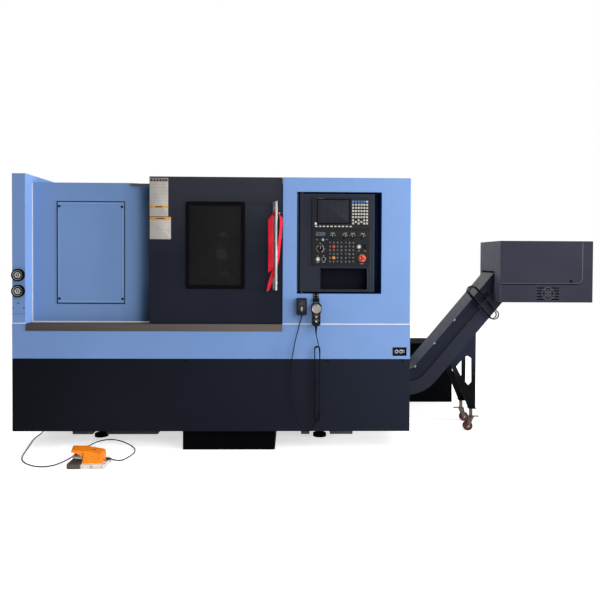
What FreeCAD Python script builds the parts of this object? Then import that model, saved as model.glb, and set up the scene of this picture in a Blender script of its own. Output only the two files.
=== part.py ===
"""Slant-bed CNC turning lathe with chip conveyor, operator console, pendant and foot pedal.

Millimetres. X runs along the spindle, Y from the front of the machine to its back, Z up from the floor.
The sizes below are measured from the machine's left end, its front plane and the floor.
"""
import FreeCAD, Part
import math
import os

V = FreeCAD.Vector

# --- sheet metal and clearances ---
SHEET = 3.0
SEAM = 0.3
SLIDE_GAP = 0.3
SHAFT_GAP = 0.05
DRUM_SIDES = 32
POST_SIDES = 16

# --- enclosure ---
BODY_W = 2750.0
BODY_D = 1650.0
BASE_Z = 138.0
BAND_Z = 643.0
SEAM_Z = 884.0
TOWER_W = 95.0
TOWER_RISE = 14.0
TOWER_EDGE_R = 6.0
COLUMN_W = 892.0
COLUMN_TOP = 1902.0
COLUMN_D = 1250.0
COVER_DROP = 36.0
COVER_Y = 94.0
COVER_END_GAP = 11.0
COVER_CURVE_R = 165.0
BASE_FLANGE_W = 60.0
PANEL_PLATE_X = 277.0
PANEL_PLATE_W = 465.0
PANEL_PLATE_Z = 1021.0
PANEL_PLATE_H = 710.0
PANEL_PLATE_R = 10.0
PLATE_LAP = 22.0
GAUGE_X = 47.0
GAUGE_Z = (1218.0, 1108.0)
GAUGE_R = 43.0
GAUGE_DEPTH = 28.0
CONNECTOR_INSET = 118.0
CONNECTOR_Z = 669.0
CONNECTOR_W = 90.0
CONNECTOR_H = 52.0
CONNECTOR_D = 13.0
SOCKET_R = 14.0
SOCKET_PITCH = 31.0

# --- door and its tracks ---
SILL_H = 50.0
SILL_PROUD = 5.0
SILL_D = 140.0
SILL_EDGE_R = 3.0
DOOR_X = 936.0
DOOR_RIGHT_GAP = 2.0
DOOR_Y = 12.0
DOOR_D = 62.0
DOOR_RISE = 1.0
DOOR_LIFT = 1.5
DOOR_EDGE_R = 4.0
FIN_T = 6.0
FIN_H = 20.0
FIN_OFFSET = 27.0
GROOVE_GAP = 0.5
RAIL_X = 789.0
RAIL_DROP = 17.0
RAIL_H = 12.0
RAIL_BACK_GAP = 4.0
HANGER_W = 40.0
HANGER_H = 12.0
HANGER_INSET = 16.0
HANGER_SPACING = 200.0
WINDOW_AT = 251.0
WINDOW_Z = 1128.0
WINDOW_INSET = 260.0
WINDOW_H = 603.0
WINDOW_RIM = 24.0
WINDOW_PROUD = 4.0
WINDOW_FRAME_D = 22.0
WINDOW_R = 14.0
GLASS_T = 6.0
GLASS_LAP = 6.0
HANDLE_INSET = 51.0
HANDLE_Z = 1122.0
HANDLE_W = 17.0
HANDLE_H = 610.0
HANDLE_T = 14.0
HANDLE_REACH = 44.0
HANDLE_POST_H = 26.0
HANDLE_R = 5.0
HANDLE_STRIP_W = 12.0
HANDLE_STRIP_GAP = 3.0
HANDLE_STRIP_T = 4.0
RIBBON_T = 2.5
RIBBON_GAP = 0.5
RIBBON_DROP = 91.5
RIBBON_TAIL = ((-1.0, 17.0), (-19.0, 16.0), (-50.0, -20.0), (-33.0, -190.0), (-25.0, -370.0), (-57.0, -530.0),
               (-40.0, -512.0), (-30.0, -540.0), (-4.0, -380.0), (-6.0, -200.0))
RIBBON_LOOP = ((16.0, 2.0), (55.0, -28.0), (36.0, -180.0), (20.0, -310.0), (17.0, -160.0))
RIBBON_BAND = ((-10.0, 16.0), (26.0, -4.0), (26.0, -34.0), (-10.0, -22.0))

# --- operator console ---
RECESS_AT = 99.0
RECESS_W = 589.0
RECESS_DROP = 805.0
RECESS_H = 706.0
RECESS_D = 175.0
CONSOLE_GAP = 13.0
CONSOLE_SIDE_GAP = 18.0
CONSOLE_W = 521.0
CONSOLE_D = 150.0
CONSOLE_EDGE_R = 6.0
PIN_R = 8.0
PIN_INSET = 14.0
PIN_REACH = 15.0
UNIT_AT = 204.0
UNIT_W = 400.0
UNIT_DROP = 358.0
UNIT_H = 219.0
UNIT_T = 12.0
UNIT_EDGE_R = 3.0
SCREEN_AT = 241.0
SCREEN_DROP = 315.0
SCREEN_W = 221.0
SCREEN_H = 162.0
SCREEN_DEPTH = 5.0
SCREEN_T = 2.0
PLATE_DROP = 609.0
PLATE_H = 249.0
PLATE_T = 8.0
KEY_H = 4.0
PAD_KEY = 15.0
PAD_AT = 486.0
PAD_DROP = 166.0
PAD_PITCH_X = 19.4
PAD_PITCH_Z = 21.5
PAD_COLUMNS = 6
PAD_ROWS = 8
SOFT_KEY_W = 20.0
SOFT_KEY_H = 14.0
SOFT_AT = 232.0
SOFT_DROP = 338.0
SOFT_PITCH = 26.4
SOFT_KEYS = 10
MODE_KEY = 19.0
MODE_AT = 328.0
MODE_SECOND_AT = 437.0
MODE_DROP = 451.0
MODE_PITCH = 26.0
MODE_ROWS = 6
MODE_COLUMNS = 4
MODE_SECOND_COLUMNS = 3
SELECTOR_AT = (348.0, 431.0, 486.0, 555.0)
SELECTOR_DROP = 410.0
SELECTOR_R = 13.0
SELECTOR_H = 15.0
SELECTOR_SIDES = 10
GRIP_W = 7.0
FIXED_BUTTONS = ((529.0, 478.0), (572.0, 477.0))
FIXED_BUTTON_H = 7.0
BUTTON_AT = (245.0, 285.0)
BUTTON_DROP = 565.0
BUTTON_R = 11.0
BUTTON_SIDES = 20
BUTTON_PROUD = 6.0
BUTTON_SKIRT = 4.0
COUNTER_AT = 229.0
COUNTER_DROP = 402.0
COUNTER_W = 64.0
COUNTER_H = 24.0
COUNTER_T = 3.0
LOCK_AT = 279.0
LOCK_DROP = 430.0
LOCK_R = 9.0
KEY_BLADE_W = 3.0
KEY_BLADE_L = 20.0
KEY_BLADE_H = 16.0
DIAL_AT = 261.0
DIAL_DROP = 492.0
DIAL_R = 20.0
DIAL_H = 20.0
DIAL_STEM_R = 4.0
DIAL_FLUTES = 14
DIAL_FLUTE = 1.5
STOP_AT = 551.0
STOP_DROP = 558.0
STOP_RING_R = 29.0
STOP_RING_H = 8.0
STOP_R = 22.0
STOP_HEAD_H = 16.0
STOP_EDGE = 5.0
STOP_SIDES = 24
STOP_LIFT = 5.0
STOP_STEM_R = 9.0
TRAY_AT = 261.0
TRAY_DROP = 775.0
TRAY_W = 327.0
TRAY_H = 148.0
TRAY_D = 90.0
TRAY_R = 8.0

# --- pendant, its bracket and its socket ---
PENDANT_AT = 233.0
PENDANT_DROP = 1023.0
PENDANT_W = 72.0
PENDANT_H = 158.0
PENDANT_D = 54.0
PENDANT_BACK = 24.0
PENDANT_R = 14.0
PENDANT_WAIST_W = 58.0
PENDANT_WAIST_H = 84.0
PENDANT_FOOT_W = 40.0
HOOK_W = 38.0
HOOK_T = 4.0
BAIL_W = 46.0
BAIL_T = 4.0
BAIL_H = 32.0
BAIL_BAR = 8.0
HOOK_DROP = 805.0
GLAND_R = 9.0
GLAND_H = 14.0
WHEEL_DROP = 902.0
WHEEL_R = 32.0
WHEEL_T = 16.0
WHEEL_GAP = 2.0
WHEEL_STEM_R = 4.0
WHEEL_SIDES = 36
WHEEL_STEM_L = 12.0
CRANK_R = 4.0
CRANK_H = 12.0
CRANK_OFFSET = 22.0
PENDANT_KNOB_DROP = (957.0, 988.0)
PENDANT_KNOB_R = 12.0
PENDANT_KNOB_H = 14.0
PENDANT_KNOB_STEM_R = 3.0
PENDANT_KNOB_SIDES = 16
HOOD_AT = 98.0
HOOD_DROP = 950.0
HOOD_W = 72.0
HOOD_H = 116.0
HOOD_D = 46.0
HOOD_R = 8.0
PLUG_R = 14.0
PLUG_SIDES = 16
PLUG_Y = -23.0
PLUG_TAIL_R = 7.0
PLUG_TAIL_H = 22.0
PLUG_DROP = 917.0

# --- bed, headstock and slides ---
BED_X = 120.0
BED_END_GAP = 150.0
BED_Z = 140.0
BED_FRONT_Y = 300.0
BED_BACK_TOP = 1100.0
SLAB_TOP = 250.0
CHANNEL_TOP = 520.0
CHANNEL_GAP = 80.0
AXIS_Y = 600.0
AXIS_Z = 1080.0
BED_ANGLE = 45.0
BED_DROP = 260.0
BED_LOW = 330.0
BED_HIGH = 390.0
BED_LIP_Y = 600.0
BED_LIP_Z = 560.0
RAIL_W = 40.0
RAIL_T = 30.0
RAIL_OFFSET = 170.0
RAIL_START = 1150.0
RAIL_END_GAP = 10.0
LEFT_FOOT_BLOCKS = ((303.0, 147.0), (556.0, 377.0))
RIGHT_FOOT_BLOCKS = ((753.0, 63.0), (537.0, 169.0))
FOOT_FRONT_Y = 302.0
FOOT_INSET = 140.0
FOOT_D = 125.0
FOOT_Z = 30.0
BOLT_LEFT_X = 498.0
BOLT_INSET = 612.0
BOLT_R = 16.0
NUT_R = 28.0
NUT_H = 24.0
PAD_R = 50.0
PAD_H = 22.0
HEADSTOCK_X = 560.0
HEADSTOCK_L = 345.0
HEADSTOCK_R = 170.0
SPINDLE_R = 70.0
SPINDLE_BORE_R = 30.0
SPINDLE_X = 330.0
SPINDLE_NOSE_L = 30.0
PULLEY_X = 360.0
PULLEY_L = 80.0
PULLEY_R = 120.0
BELT_W = 60.0
BELT_DEPTH = 9.0
CYLINDER_R = 95.0
CYLINDER_L = 170.0
CHUCK_R = 115.0
CHUCK_L = 100.0
CHUCK_BORE_R = 33.0
JAW_W = 29.4
JAW_DEPTH = 24.7
JAW_IN = 40.0
JAW_OUT = 100.0
JAW_STEP_IN = 46.0
JAW_STEP_OUT = 78.0
JAW_STEP_L = 45.0
JAW_TOP_L = 22.0
SLOT_IN = 30.0
CARRIAGE_X = 1500.0
SADDLE_LEFT = -115.0
SADDLE_L = 360.0
SADDLE_LOW = -230.0
SADDLE_HIGH = 430.0
SADDLE_TOP = -165.0
CROSS_RAIL_OFFSET = 90.0
CROSS_RAIL_W = 36.0
CROSS_RAIL_T = 24.0
CROSS_RAIL_LOW = -10.0
TURRET_HOME = 420.0
SLIDE_W = 250.0
SLIDE_L = 300.0
SLIDE_T = 75.0
TURRET_BODY_L = 220.0
TURRET_BODY_W = 210.0
TURRET_BODY_TOP = 85.0
DISC_R = 140.0
DISC_T = 80.0
DISC_GAP = 5.0
DISC_HUB_R = 40.0
TOOL_STATIONS = 12
TOOL_W = 34.0
TOOL_L = 50.0
TOOL_T = 60.0
TAILSTOCK_INSET = 670.0
TAILSTOCK_L = 240.0
TAILSTOCK_W = 430.0
TAILSTOCK_BASE_T = 110.0
TAILSTOCK_NECK_W = 160.0
TAILSTOCK_R = 80.0
QUILL_R = 35.0
QUILL_OUT = 40.0
QUILL_IN = 190.0
CENTRE_L = 48.0
CENTRE_R = 16.0
CENTRE_SIDES = 12
GUARD_Y = 1200.0
LINER_INSET = 405.0
CHUCK_HOLE_R = 135.0
CHUTE_LOW_Y = 500.0
CHUTE_LOW_Z = 495.0
LINER_GAP = 1.0

# --- rear cabinet ---
CABINET_DOOR_INSET = 40.0
CABINET_DOOR_T = 25.0
CABINET_DOOR_GAP = 0.5
CABINET_PIN_R = 6.0
CABINET_PIN_L = 40.0
LATCH_W = 28.0
LATCH_H = 90.0
LATCH_T = 8.0

# --- chip conveyor ---
TROUGH_Y = 505.0
TROUGH_W = 285.0
TROUGH_X = 300.0
TROUGH_Z = 277.0
TROUGH_H = 105.0
TROUGH_T = 4.0
TROUGH_FLANGE = 8.0
MOUTH_GAP = 12.0
LID_LAP = 50.0
LID_H = 95.0
BEND_AT = 65.0
BEND_R = 310.0
BEND_ANGLE = 50.0
INCLINE_L = 1000.0
CLEAT_W = 6.0
CLEAT_T = 3.0
CLEAT_HALF = 50.0
CLEAT_REACH = 60.0
DRIVE_BACK = 90.0
DRIVE_H = 62.0
DRIVE_SHAFT_R = 20.0
SPROCKET_R = 50.0
SPROCKET_ROOT_R = 42.0
SPROCKET_T = 12.0
SPROCKET_TEETH = 8
SPROCKET_INSET = 40.0
HEAD_AT = 752.0
HEAD_W = 710.0
HEAD_Y = 360.0
HEAD_D = 488.0
HEAD_Z = 1016.0
HEAD_H = 467.0
HEAD_PLATE_W = 629.0
HEAD_PLATE_Z = 1157.0
HEAD_PLATE_T = 2.0
HEAD_PLATE_R = 34.0
HEAD_PLATE_MARGIN = 4.0
LOUVER_AT = 283.0
LOUVER_W = 169.0
LOUVER_Z = 1035.0
LOUVER_H = 9.0
LOUVER_PITCH = 21.5
LOUVERS = 5
DISCHARGE_AT = 398.0
DISCHARGE_W = 250.0
DISCHARGE_MARGIN = 50.0
HEAD_FIT = 1.0
LEG_AT = 559.0
LEG_W = 57.0
LEG_TOP_AT = 415.0
LEG_Z = 180.0
LEG_T = 6.0
LEG_FOOT_H = 6.0
LEG_WINDOW = ((462.0, 500.0), (528.0, 578.0), (550.0, 586.0), (582.0, 566.0),
              (584.0, 380.0), (558.0, 354.0), (498.0, 430.0))
CASTER_STEM_AT = 581.0
CASTER_TRAIL = 24.0
CASTER_R = 37.0
CASTER_W = 26.0
CASTER_AXLE_R = 5.0
CASTER_HUB_GAP = 1.0
FORK_T = 4.0
FORK_TOP = 112.0
FORK_W = 44.0
STEM_R = 9.0
BRAKE_L = 40.0
BRAKE_W = 22.0
BRAKE_T = 5.0
GROMMET_R = 21.0
GROMMET_T = 5.0

# --- coolant tanks ---
TANK_X = 1165.0
TANK_W = 645.0
TANK_Y = 30.0
TANK_D = 970.0
TANK_H = 130.0
REAR_TANK_GAP = 10.0
REAR_TANK_W = 680.0
REAR_TANK_Y = 1429.0
REAR_TANK_D = 371.0
REAR_TANK_H = 555.0
TANK_EDGE_R = 10.0
TANK_LIP = 12.0
TANK_LIP_H = 18.0

# --- foot pedal ---
PEDAL_X = 500.0
PEDAL_W = 241.0
PEDAL_Y = -362.0
PEDAL_D = 160.0
PEDAL_BASE_H = 28.0
PEDAL_R = 14.0
PEDAL_HOOD_T = 4.0
PEDAL_HOOD_SIDE = 26.0
PEDAL_HOOD_TIP_Z = 112.0
PEDAL_HOOD_BACK_Z = 92.0
PEDAL_HOOD_TIP_T = 14.0
PEDAL_HOOD_SIDE_X = 585.0
PEDAL_HOOD_BACK_X = 714.0
PEDAL_HOOD_R = 12.0
TREAD_PIN_X = 694.0
TREAD_PIN_Z = 46.0
TREAD_PIN_R = 5.0
TREAD_T = 7.0
TREAD_L = 176.0
TREAD_SIDE_GAP = 6.0
TREAD_RISE = 6.0
TREAD_RIBS = 5
TREAD_RIB_PITCH = 18.0
TREAD_EAR_R = 10.0

# --- cords: outer diameters, and routes as points chosen along each cord ---
CORD_D = 8.0
CABLE_D = 7.5
PENDANT_CORD_D = 6.5
BUNDLE_X = 2100.0
BUNDLE_Z = 480.0
BUNDLE_HALF = 235.0
BUNDLE_LOOPS = ((17.0, 0.0, 0.0), (19.0, 5.0, 0.0))
BUNDLE_LAST_R = 17.0
BUNDLE_EXIT = 0.9
LAYER_PITCH = 7.5
TIE_GAP = 0.3
TIE_T = 2.0
TIE_H = 10.0
PEDAL_GLAND = (40.0, 470.0)
PEDAL_GLAND_H = 20.0
PEDAL_GLAND_R = 10.0
FLOOR_REST = 4.6
PEDAL_CORD = (
    (40, 470, 118), (40, 470, 78), (39, 458, 38), (35, 428, 11), (28, 385, FLOOR_REST), (27, 318, FLOOR_REST),
    (38, 236, FLOOR_REST), (59, 148, FLOOR_REST), (80, 58, FLOOR_REST), (99, -30, FLOOR_REST),
    (119, -116, FLOOR_REST), (148, -192, FLOOR_REST), (196, -256, FLOOR_REST), (262, -306, FLOOR_REST),
    (332, -332, FLOOR_REST), (394, -310, FLOOR_REST), (430, -250, FLOOR_REST), (450, -172, FLOOR_REST),
    (464, -92, FLOOR_REST), (474, -6, FLOOR_REST), (484, 84, FLOOR_REST), (502, 172, FLOOR_REST),
    (541, 240, FLOOR_REST), (607, 264, FLOOR_REST), (684, 222, FLOOR_REST), (764, 142, FLOOR_REST),
    (827, 52, FLOOR_REST), (851, -36, FLOOR_REST), (842, -112, FLOOR_REST), (823, -176, FLOOR_REST),
    (806, -230, 10), (782, -266, 27), (752, -282, 40), (728, -282, 40))
PENDANT_UPPER = (
    (2091, -51, 865), (2091, -51, 832), (2096, -44, 800), (2104, -37, 768), (2111, -35, 736), (2116, -38, 704),
    (2117, -41, 672), (2117, -41, 645))
PENDANT_LOWER = (
    (2066, -55, 162), (2039, -54, 153), (2011, -52, 161), (1985, -50, 190), (1961, -48, 240), (1939, -45, 306),
    (1921, -42, 386), (1912, -38, 478), (1916, -34, 576), (1930, -30, 676), (1949, -27, 774), (1972, -24, 866),
    (1992, -23, 930), (1992, -23, 963))
HANK_AT = 654.0
HANK_Z = 1005.0
HANK_ANGLE = -49.0
HANK_HALF = 122.0
HANK_LOOPS = ((31.0, 0.0, 0.0), (36.0, 6.0, 3.0), (32.0, -7.0, -3.0), (34.0, 4.0, 2.0))
HANK_PITCH = 9.0
HANK_TURN = 10.0
HANK_JOIN = 0.7
HANK_LEAVE = 0.3
GROMMET_AT = 690.0
GROMMET_Z = 1069.0
SECOND_GROMMET_ALONG = -22.0
SECOND_GROMMET_ACROSS = -72.0

# --- places that follow from the sizes above ---
COLUMN_X = BODY_W - COLUMN_W
COVER_TOP = COLUMN_TOP - COVER_DROP
TOWER_TOP = COLUMN_TOP + TOWER_RISE
DOOR_TOP = COLUMN_TOP + DOOR_RISE
RAIL_Z = COVER_TOP - RAIL_DROP
COVER_END_X = DOOR_X - COVER_END_GAP
SILL_Z = SEAM_Z - SILL_H
SILL_X = TOWER_W + SEAM
SILL_END = COLUMN_X - SEAM
DOOR_Z = SEAM_Z + DOOR_LIFT
DOOR_W = COLUMN_X - DOOR_RIGHT_GAP - DOOR_X
DOOR_BACK = DOOR_Y + DOOR_D
WINDOW_X = DOOR_X + WINDOW_AT
WINDOW_W = DOOR_W - WINDOW_AT - WINDOW_INSET
HANDLE_X = DOOR_X + DOOR_W - HANDLE_INSET
RECESS_X = COLUMN_X + RECESS_AT
UNIT_X = COLUMN_X + UNIT_AT
SCREEN_X = COLUMN_X + SCREEN_AT
PAD_X = COLUMN_X + PAD_AT
SOFT_X = COLUMN_X + SOFT_AT
MODE_X = COLUMN_X + MODE_AT
MODE_SECOND_X = COLUMN_X + MODE_SECOND_AT
COUNTER_X = COLUMN_X + COUNTER_AT
LOCK_X = COLUMN_X + LOCK_AT
DIAL_X = COLUMN_X + DIAL_AT
STOP_X = COLUMN_X + STOP_AT
TRAY_X = COLUMN_X + TRAY_AT
PENDANT_X = COLUMN_X + PENDANT_AT
HOOD_X = COLUMN_X + HOOD_AT
SELECTOR_X = tuple(COLUMN_X + x for x in SELECTOR_AT)
BUTTON_X = tuple(COLUMN_X + x for x in BUTTON_AT)
CONNECTOR_X = BODY_W - CONNECTOR_INSET
LID_X = BODY_W - LID_LAP
BEND_X = BODY_W + BEND_AT
HEAD_X = BODY_W + HEAD_AT
LOUVER_X = HEAD_X + LOUVER_AT
DISCHARGE_X = HEAD_X + DISCHARGE_AT
LEG_X = BODY_W + LEG_AT
LEG_TOP_X = BODY_W + LEG_TOP_AT
CASTER_STEM_X = BODY_W + CASTER_STEM_AT
HANK_X = BODY_W + HANK_AT
GROMMET_X = BODY_W + GROMMET_AT
BED_L = BODY_W - BED_END_GAP - BED_X
BED_BACK_Y = COLUMN_D
FOOT_ROWS = (FOOT_FRONT_Y, BED_BACK_Y - FOOT_INSET)
LINER_RIGHT_X = BODY_W - LINER_INSET
RAIL_L = LINER_RIGHT_X - RAIL_END_GAP - RAIL_START
TAILSTOCK_X = BODY_W - TAILSTOCK_INSET
BOLT_X = (BOLT_LEFT_X, BODY_W - BOLT_INSET)
RECESS_Z = COLUMN_TOP - RECESS_DROP
UNIT_Z = COLUMN_TOP - UNIT_DROP
SCREEN_Z = COLUMN_TOP - SCREEN_DROP
PLATE_Z = COLUMN_TOP - PLATE_DROP
PAD_TOP_Z = COLUMN_TOP - PAD_DROP
SOFT_Z = COLUMN_TOP - SOFT_DROP
MODE_TOP_Z = COLUMN_TOP - MODE_DROP
SELECTOR_Z = COLUMN_TOP - SELECTOR_DROP
BUTTON_Z = COLUMN_TOP - BUTTON_DROP
COUNTER_Z = COLUMN_TOP - COUNTER_DROP
LOCK_Z = COLUMN_TOP - LOCK_DROP
DIAL_Z = COLUMN_TOP - DIAL_DROP
STOP_Z = COLUMN_TOP - STOP_DROP
TRAY_Z = COLUMN_TOP - TRAY_DROP
PENDANT_Z = COLUMN_TOP - PENDANT_DROP
HOOK_TOP = COLUMN_TOP - HOOK_DROP
WHEEL_Z = COLUMN_TOP - WHEEL_DROP
HOOD_Z = COLUMN_TOP - HOOD_DROP
PLUG_Z = COLUMN_TOP - PLUG_DROP
PENDANT_KNOB_Z = tuple(COLUMN_TOP - drop for drop in PENDANT_KNOB_DROP)
CONSOLE_X = RECESS_X + CONSOLE_SIDE_GAP
CONSOLE_Z = RECESS_Z + CONSOLE_GAP
CONSOLE_H = RECESS_H - 2 * CONSOLE_GAP
PLATE_FACE = -PLATE_T
CHUCK_X = HEADSTOCK_X + HEADSTOCK_L + SPINDLE_NOSE_L
TURRET_X = CARRIAGE_X - TURRET_BODY_L / 2
TROUGH_END_Y = TROUGH_Y + TROUGH_W
PEDAL_MID_Y = PEDAL_Y + PEDAL_D / 2
PENDANT_FACE = -PENDANT_BACK - PENDANT_D
ORIGIN_X = (HEAD_X + HEAD_W) / 2
ORIGIN_Y = (PEDAL_Y + REAR_TANK_Y + REAR_TANK_D) / 2
UP = V(0, 0, 1)
DOWN = V(0, 0, -1)
FRONT = V(0, -1, 0)
RIGHT = V(1, 0, 0)


# --- small shape helpers ---
def box(x0, x1, y0, y1, z0, z1):
    return Part.makeBox(x1 - x0, y1 - y0, z1 - z0, V(x0, y0, z0))


def rod(start, direction, radius, length):
    return Part.makeCylinder(radius, length, V(*start), V(*direction))


def button(x, z, radius, base_y, height):
    """A disc that stands out of a vertical face towards the front."""
    return rod((x, base_y, z), FRONT, radius, height)


def prism(points, sweep):
    corners = [V(*point) for point in points]
    return Part.Face(Part.makePolygon(corners + corners[:1])).extrude(V(*sweep))


def ring_points(x, y, z, radius, sides, inset=0.0):
    """Corners round a point in a vertical face; every second one may be drawn in."""
    corners = []
    for step in range(sides):
        angle = 2 * math.pi * step / sides
        reach = radius - inset * (step % 2)
        corners.append((x + reach * math.cos(angle), y, z + reach * math.sin(angle)))
    return corners


def many_sided(x, z, radius, sides, base_y, height, inset=0.0):
    """A knob's head with flats or flutes that stands out of a vertical face towards the front."""
    return prism(ring_points(x, base_y, z, radius, sides, inset), (0, -height, 0))


def tapered(x, z, radius, top_radius, sides, base_y, height):
    """A many-sided head whose far end is smaller or larger than its base."""
    low = [V(*point) for point in ring_points(x, base_y, z, radius, sides)]
    high = [V(*point) for point in ring_points(x, base_y - height, z, top_radius, sides)]
    outlines = [low, high]
    for step in range(sides):
        ahead = (step + 1) % sides
        outlines.append([low[step], low[ahead], high[ahead], high[step]])
    faces = [Part.Face(Part.makePolygon(outline + outline[:1])) for outline in outlines]
    return Part.makeSolid(Part.makeShell(faces))


def side_plate(profile, y0, y1):
    """A plate whose outline is given in X and Z."""
    return prism([(x, y0, z) for x, z in profile], (0, y1 - y0, 0))


def end_plate(profile, x0, x1):
    """A plate whose outline is given in Y and Z."""
    return prism([(x0, y, z) for y, z in profile], (x1 - x0, 0, 0))


def join(*shapes):
    return shapes[0].multiFuse(list(shapes[1:])).removeSplitter()


def group(*shapes):
    return Part.makeCompound(list(shapes))


def square_corners(centre, direction, radius, sides):
    """Corners on a circle square to a direction."""
    side = direction.cross(V(0, 0, 1) if abs(direction.z) < 0.9 else RIGHT).normalize()
    other = direction.cross(side).normalize()
    corners = []
    for step in range(sides):
        angle = 2 * math.pi * step / sides
        corners.append(centre + (side * math.cos(angle) + other * math.sin(angle)) * radius)
    return corners


def post(start, direction, radius, length, sides=POST_SIDES):
    """A many-sided bar, as wide as a rod across its corners."""
    ahead = V(*direction)
    return prism(square_corners(V(*start), ahead, radius, sides), ahead * length)


def round_edges(shape, radius, direction, keep=None):
    """Rounds the straight edges that run along a direction, where keep accepts their middle."""
    chosen = []
    for edge in shape.Edges:
        if not isinstance(edge.Curve, Part.Line):
            continue
        along = abs(edge.tangentAt(edge.FirstParameter).dot(direction))
        if along > 0.999 and (keep is None or keep(edge.CenterOfMass)):
            chosen.append(edge)
    return shape.makeFillet(radius, chosen)


def rounded_box(x0, x1, y0, y1, z0, z1, radius, direction):
    return round_edges(box(x0, x1, y0, y1, z0, z1), radius, direction)


# --- the slanted bed's own directions: s climbs the slope to the back, n stands off it to the front ---
def slant(x, s, n):
    angle = math.radians(BED_ANGLE)
    y = AXIS_Y + s * math.cos(angle) - n * math.sin(angle)
    z = AXIS_Z + s * math.sin(angle) + n * math.cos(angle)
    return V(x, y, z)


def slant_box(x0, x1, s0, s1, n0, n1):
    corners = [slant(x0, s, n) for s, n in ((s0, n0), (s1, n0), (s1, n1), (s0, n1))]
    return prism(corners, (x1 - x0, 0, 0))


def bed_rails(gap):
    """The two linear rails on the bed, grown by a running gap."""
    rails = []
    for s in (-RAIL_OFFSET, RAIL_OFFSET):
        half = RAIL_W / 2 + gap
        top = RAIL_T - BED_DROP + gap
        rails.append(slant_box(RAIL_START, RAIL_START + RAIL_L, s - half, s + half, -BED_DROP, top))
    return rails


def cross_rails(gap):
    """The two rails on the saddle that carry the turret slide, grown by a running gap."""
    middle = CARRIAGE_X + SADDLE_LEFT + SADDLE_L / 2
    rails = []
    for x in (middle - CROSS_RAIL_OFFSET, middle + CROSS_RAIL_OFFSET):
        half = CROSS_RAIL_W / 2 + gap
        top = SADDLE_TOP + CROSS_RAIL_T + gap
        rails.append(slant_box(x - half, x + half, CROSS_RAIL_LOW, SADDLE_HIGH, SADDLE_TOP, top))
    return rails


# --- the conveyor's band: h is measured square to its lower edge ---
def conveyor_point(length, h):
    """A point on the incline, a length up from the end of the bend."""
    angle = math.radians(BEND_ANGLE)
    reach = BEND_R - h
    x = BEND_X + reach * math.sin(angle) + length * math.cos(angle)
    z = TROUGH_Z + BEND_R - reach * math.cos(angle) + length * math.sin(angle)
    return V(x, 0, z)


def conveyor_edge(x0, length, h):
    """The level run, the bend and the incline at one height above the lower edge."""
    half = math.radians(BEND_ANGLE / 2)
    reach = BEND_R - h
    start = V(x0, 0, TROUGH_Z + h)
    bend_start = V(BEND_X, 0, TROUGH_Z + h)
    middle = V(BEND_X + reach * math.sin(half), 0, TROUGH_Z + BEND_R - reach * math.cos(half))
    bend_end = conveyor_point(0, h)
    end = conveyor_point(length, h)
    edges = [Part.LineSegment(start, bend_start).toShape()]
    edges.append(Part.Arc(bend_start, middle, bend_end).toShape())
    edges.append(Part.LineSegment(bend_end, end).toShape())
    return start, end, edges


def conveyor_band(x0, length, h0, h1, y0, y1):
    low_start, low_end, low = conveyor_edge(x0, length, h0)
    high_start, high_end, high = conveyor_edge(x0, length, h1)
    caps = [Part.LineSegment(low_end, high_end).toShape(), Part.LineSegment(high_start, low_start).toShape()]
    wire = Part.Wire(Part.__sortEdges__(low + high + caps))
    band = Part.Face(wire).extrude(V(0, y1 - y0, 0))
    band.translate(V(0, y0, 0))
    return band


# --- cords ---
def hexagon(centre, direction, diameter):
    """A six-sided section square to a cord, as wide as the cord across its corners."""
    corners = square_corners(centre, direction, diameter / 2, 6)
    return Part.makePolygon(corners + corners[:1])


def sweep(name, edges, start, direction, diameter):
    path = Part.Wire(edges)
    shell = Part.BRepOffsetAPI.MakePipeShell(path)
    shell.add(hexagon(start, direction, diameter))
    shell.build()
    shell.makeSolid()
    solid = shell.shape()
    section = 6 * 0.5 * (diameter / 2) ** 2 * math.sin(math.radians(60))
    ratio = abs(solid.Volume) / (section * path.Length)
    print("%s: %.0f mm long, volume is %.4f of section times length" % (name, path.Length, ratio))
    return solid


def route_edges(name, route):
    """Straight runs joined by arcs as large as the runs allow."""
    points = [V(*point) for point in route]
    edges = []
    radii = []
    last = points[0]
    for before, corner, after in zip(points, points[1:], points[2:]):
        back = (before - corner).normalize()
        ahead = (after - corner).normalize()
        half_turn = (math.pi - back.getAngle(ahead)) / 2
        setback = 0.45 * min((before - corner).Length, (after - corner).Length)
        radius = setback / math.tan(half_turn)
        radii.append(radius)
        first = corner + back * setback
        second = corner + ahead * setback
        inward = (back + ahead).normalize()
        middle = corner + inward * (radius / math.cos(half_turn) - radius)
        edges.append(Part.LineSegment(last, first).toShape())
        edges.append(Part.Arc(first, middle, second).toShape())
        last = second
    edges.append(Part.LineSegment(last, points[-1]).toShape())
    print("%s: bend radii %s" % (name, " ".join("%.0f" % radius for radius in radii)))
    return edges


def tube(name, route, diameter):
    start = V(*route[0])
    return sweep(name, route_edges(name, route), start, (V(*route[1]) - start).normalize(), diameter)


def arc_from(start, tangent, end):
    """The arc that leaves a point along a tangent and ends at another point."""
    chord = end - start
    half_chord = chord.Length / 2
    lean = tangent.getAngle(chord)
    corner = start + tangent * (half_chord / math.cos(lean))
    middle = (start + end) * 0.5
    outward = (corner - middle).normalize()
    return Part.Arc(start, middle + outward * (half_chord * math.tan(lean / 2)), end).toShape()


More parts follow.
